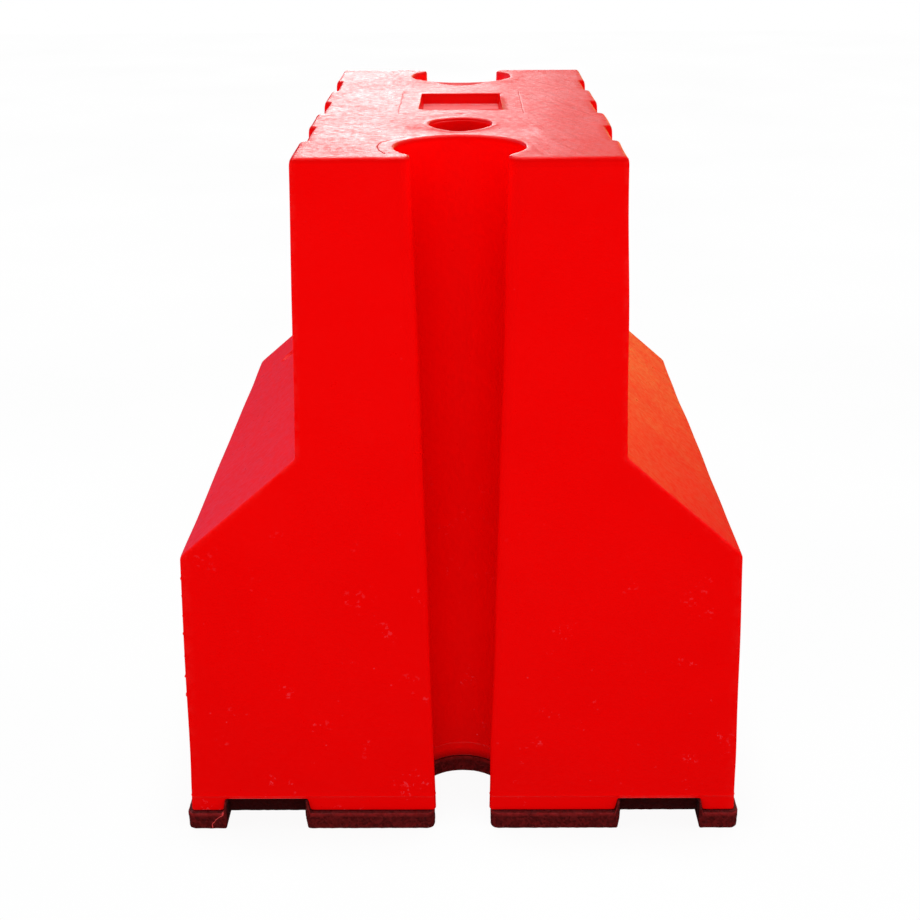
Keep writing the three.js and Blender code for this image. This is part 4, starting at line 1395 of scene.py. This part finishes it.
# a pale, evenly glowing floor with a faint contact shade; matt surfaces get tinted light from it
shade = mf.new("ShaderNodeAmbientOcclusion", samples=8)
shade.inputs["Distance"].default_value = 0.10
glow = mf.mix(mf.range(mf.noise(1.2, 3, 0.5), 0.3, 0.7, 0.0, 1.0), (0.985, 0.985, 0.985), (1.0, 1.0, 1.0))
glow = mf.mix(mf.range(shade.outputs["AO"], 0.35, 0.95, 0.0, 1.0), (0.955, 0.945, 0.945), glow)
path = mf.new("ShaderNodeLightPath")
glow = mf.mix(path.outputs["Is Diffuse Ray"], glow, tuple(FLOOR_LIGHT * c for c in TINT))
mf.set(
    Base_Color=(0.0, 0.0, 0.0, 1.0),
    Roughness=0.9,
    Specular_IOR_Level=0.0,
    Emission_Color=glow,
    Emission_Strength=1.0,
)
# clear when it is seen from below, so that the underside can be looked at
see = mf.new("ShaderNodeMixShader")
mf.link(mf.new("ShaderNodeNewGeometry").outputs["Backfacing"], see.inputs[0])
mf.link(mf.bsdf.outputs[0], see.inputs[1])
mf.link(mf.new("ShaderNodeBsdfTransparent").outputs[0], see.inputs[2])
mf.link(see.outputs[0], mf.t.nodes["Material Output"].inputs["Surface"])
paint(floor, mf.mat)
floor.visible_glossy = False

# ------------------------------------------------------------------ camera
pitch, yaw, roll = 0.393605, 0.005446, -0.005233
cam_data = bpy.data.cameras.new("camera")
cam = bpy.data.objects.new("camera", cam_data)
bpy.context.scene.collection.objects.link(cam)
cp, sp = math.cos(pitch), math.sin(pitch)
cy_, sy_ = math.cos(yaw), math.sin(yaw)
cr, sr = math.cos(roll), math.sin(roll)
r0 = np.array([cy_, sy_, 0.0])
f0 = np.array([-sy_, cy_, 0.0])
up = np.array([0, 0, 1.0])
Fv = cp * f0 - sp * up
U0 = sp * f0 + cp * up
Xv = cr * r0 + sr * U0
Yv = -sr * r0 + cr * U0
m4 = Matrix.Identity(4)
for i in range(3):
    m4[i][0], m4[i][1], m4[i][2] = Xv[i], Yv[i], -Fv[i]
m4[0][3], m4[1][3], m4[2][3] = 0.00653, -HALF_L * MM - 1.3948, 1.0562
cam.matrix_world = m4
cam_data.sensor_width = 36
cam_data.lens = 36 * 1405.5 / 920
cam_data.clip_start, cam_data.clip_end = 0.05, 100
bpy.context.scene.camera = cam

# ------------------------------------------------------------------ light
world = bpy.data.worlds.new("studio")
bpy.context.scene.world = world
world.use_nodes = True
wt = world.node_tree
wt.nodes.clear()
out = wt.nodes.new("ShaderNodeOutputWorld")
bg = wt.nodes.new("ShaderNodeBackground")
bg_cam = wt.nodes.new("ShaderNodeBackground")
bg_cam.inputs["Color"].default_value = (1, 1, 1, 1)
bg_cam.inputs["Strength"].default_value = 1.0
mixs = wt.nodes.new("ShaderNodeMixShader")
lp = wt.nodes.new("ShaderNodeLightPath")
wt.links.new(lp.outputs["Is Camera Ray"], mixs.inputs[0])
wt.links.new(bg.outputs[0], mixs.inputs[1])
wt.links.new(bg_cam.outputs[0], mixs.inputs[2])
wt.links.new(mixs.outputs[0], out.inputs[0])
tc = wt.nodes.new("ShaderNodeTexCoord")
sepw = wt.nodes.new("ShaderNodeSeparateXYZ")
wt.links.new(tc.outputs["Generated"], sepw.inputs[0])


def wmath(op, a, b2=0.0):
    n = wt.nodes.new("ShaderNodeMath")
    n.operation = op
    for sock, val in zip(n.inputs, (a, b2)):
        if hasattr(val, "is_output"):
            wt.links.new(val, sock)
        else:
            sock.default_value = val
    return n.outputs[0]


def wrange(v, a, b2, c, d):
    n = wt.nodes.new("ShaderNodeMapRange")
    n.interpolation_type = "SMOOTHSTEP"
    for key, val in zip(("From Min", "From Max", "To Min", "To Max"), (a, b2, c, d)):
        n.inputs[key].default_value = val
    wt.links.new(v, n.inputs["Value"])
    return n.outputs["Result"]


def wmix(fac, a, b2):
    n = wt.nodes.new("ShaderNodeMix")
    n.data_type = "RGBA"
    for sock, val in ((n.inputs[0], fac), (n.inputs[6], a), (n.inputs[7], b2)):
        if hasattr(val, "is_output"):
            wt.links.new(val, sock)
        else:
            sock.default_value = val
    return n.outputs[2]


dx, dy, dz = sepw.outputs[:3]


def wtint(v, color):
    """A grey value times a colour."""
    n = wt.nodes.new("ShaderNodeVectorMath")
    n.operation = "SCALE"
    n.inputs[0].default_value = color
    wt.links.new(v, n.inputs["Scale"])
    return n.outputs[0]


def wadd(*colors):
    last = colors[0]
    for c in colors[1:]:
        n = wt.nodes.new("ShaderNodeVectorMath")
        n.operation = "ADD"
        wt.links.new(last, n.inputs[0])
        wt.links.new(c, n.inputs[1])
        last = n.outputs[0]
    return last


def wmul(*values):
    last = values[0]
    for v2 in values[1:]:
        last = wmath("MULTIPLY", last, v2)
    return last


# what matt surfaces see: an even tent, a little brighter on the camera's side
sides = wmath("ADD", wmul(wrange(wmath("ABSOLUTE", dx), 0.30, 0.80, 0.0, 1.0), wrange(dy, -0.60, -0.10, 0.0, 1.0), 1.45), 1.0)
soft = wmul(sides, wrange(dx, -1.0, 1.0, 0.98, 1.07), wrange(dz, 0.0, 0.6, 0.48, 1.14), wrange(dz, 0.60, 1.0, 1.0, 0.02))
# what gloss reflects: a bright window behind on the left, a warm panel behind on the right,
# a cool dim one behind on the left, an overhead panel, and nothing in front
behind = wrange(dy, 0.05, 0.45, 0.0, 1.0)
window = wmul(
    wrange(dx, -0.19, -0.08, 0.0, 1.0), wrange(dx, -0.08, 0.09, 8.5, 0.89), wrange(dx, 0.13, 0.30, 1.0, 0.12),
    wrange(dz, -0.22, -0.06, 0.0, 1.0), wrange(dz, 0.12, 0.22, 1.0, 0.24), behind,
)  # fmt: skip
low = wmul(wrange(dz, -0.55, -0.15, 0.0, 1.0), wrange(dz, 0.15, 0.40, 1.0, 0.3), behind)
cool = wmul(low, wrange(dx, -0.22, -0.12, 1.0, 0.0), wrange(dx, -0.52, -0.38, 2.4, 1.0))
warm = wmul(low, wrange(dx, 0.12, 0.24, 0.0, 1.0), wrange(dx, 0.28, 0.44, 1.0, 0.02))
over = wmul(wrange(dz, 0.50, 0.85, 0.0, 1.0), wrange(dy, -0.75, -0.35, 0.0, 1.0))
under = wrange(dz, -0.97, -0.80, 1.0, 0.0)
gloss = wadd(
    wtint(window, (1.0, 1.0, 1.0)),
    wtint(cool, (0.090, 0.084, 0.155)),
    wtint(warm, (1.15, 1.02, 0.115)),
    wtint(over, (2.2, 2.2, 2.25)),
    wtint(under, (0.55, 0.55, 0.57)),
)
pick = wmix(lp.outputs["Is Diffuse Ray"], gloss, wtint(soft, TINT))
wt.links.new(pick, bg.inputs["Color"])
bg.inputs["Strength"].default_value = 1.0
if hasattr(world, "cycles"):
    world.cycles.sampling_method = "NONE"

# a large soft lamp straight in front, seen by matt surfaces only
lamp_data = bpy.data.lights.new("front_softbox", "SUN")
lamp_data.energy = 0.326 * math.pi
lamp_data.color = TINT
lamp_data.angle = math.radians(30)
lamp = bpy.data.objects.new("front_softbox", lamp_data)
lamp.matrix_world = Matrix(((1, 0, 0, 0), (0, 0, -1, -4), (0, 1, 0, 1), (0, 0, 0, 1)))
lamp.visible_glossy = False
lamp.visible_camera = False
bpy.context.scene.collection.objects.link(lamp)

bpy.context.scene.view_settings.view_transform = "Standard"

bpy.context.view_layer.update()
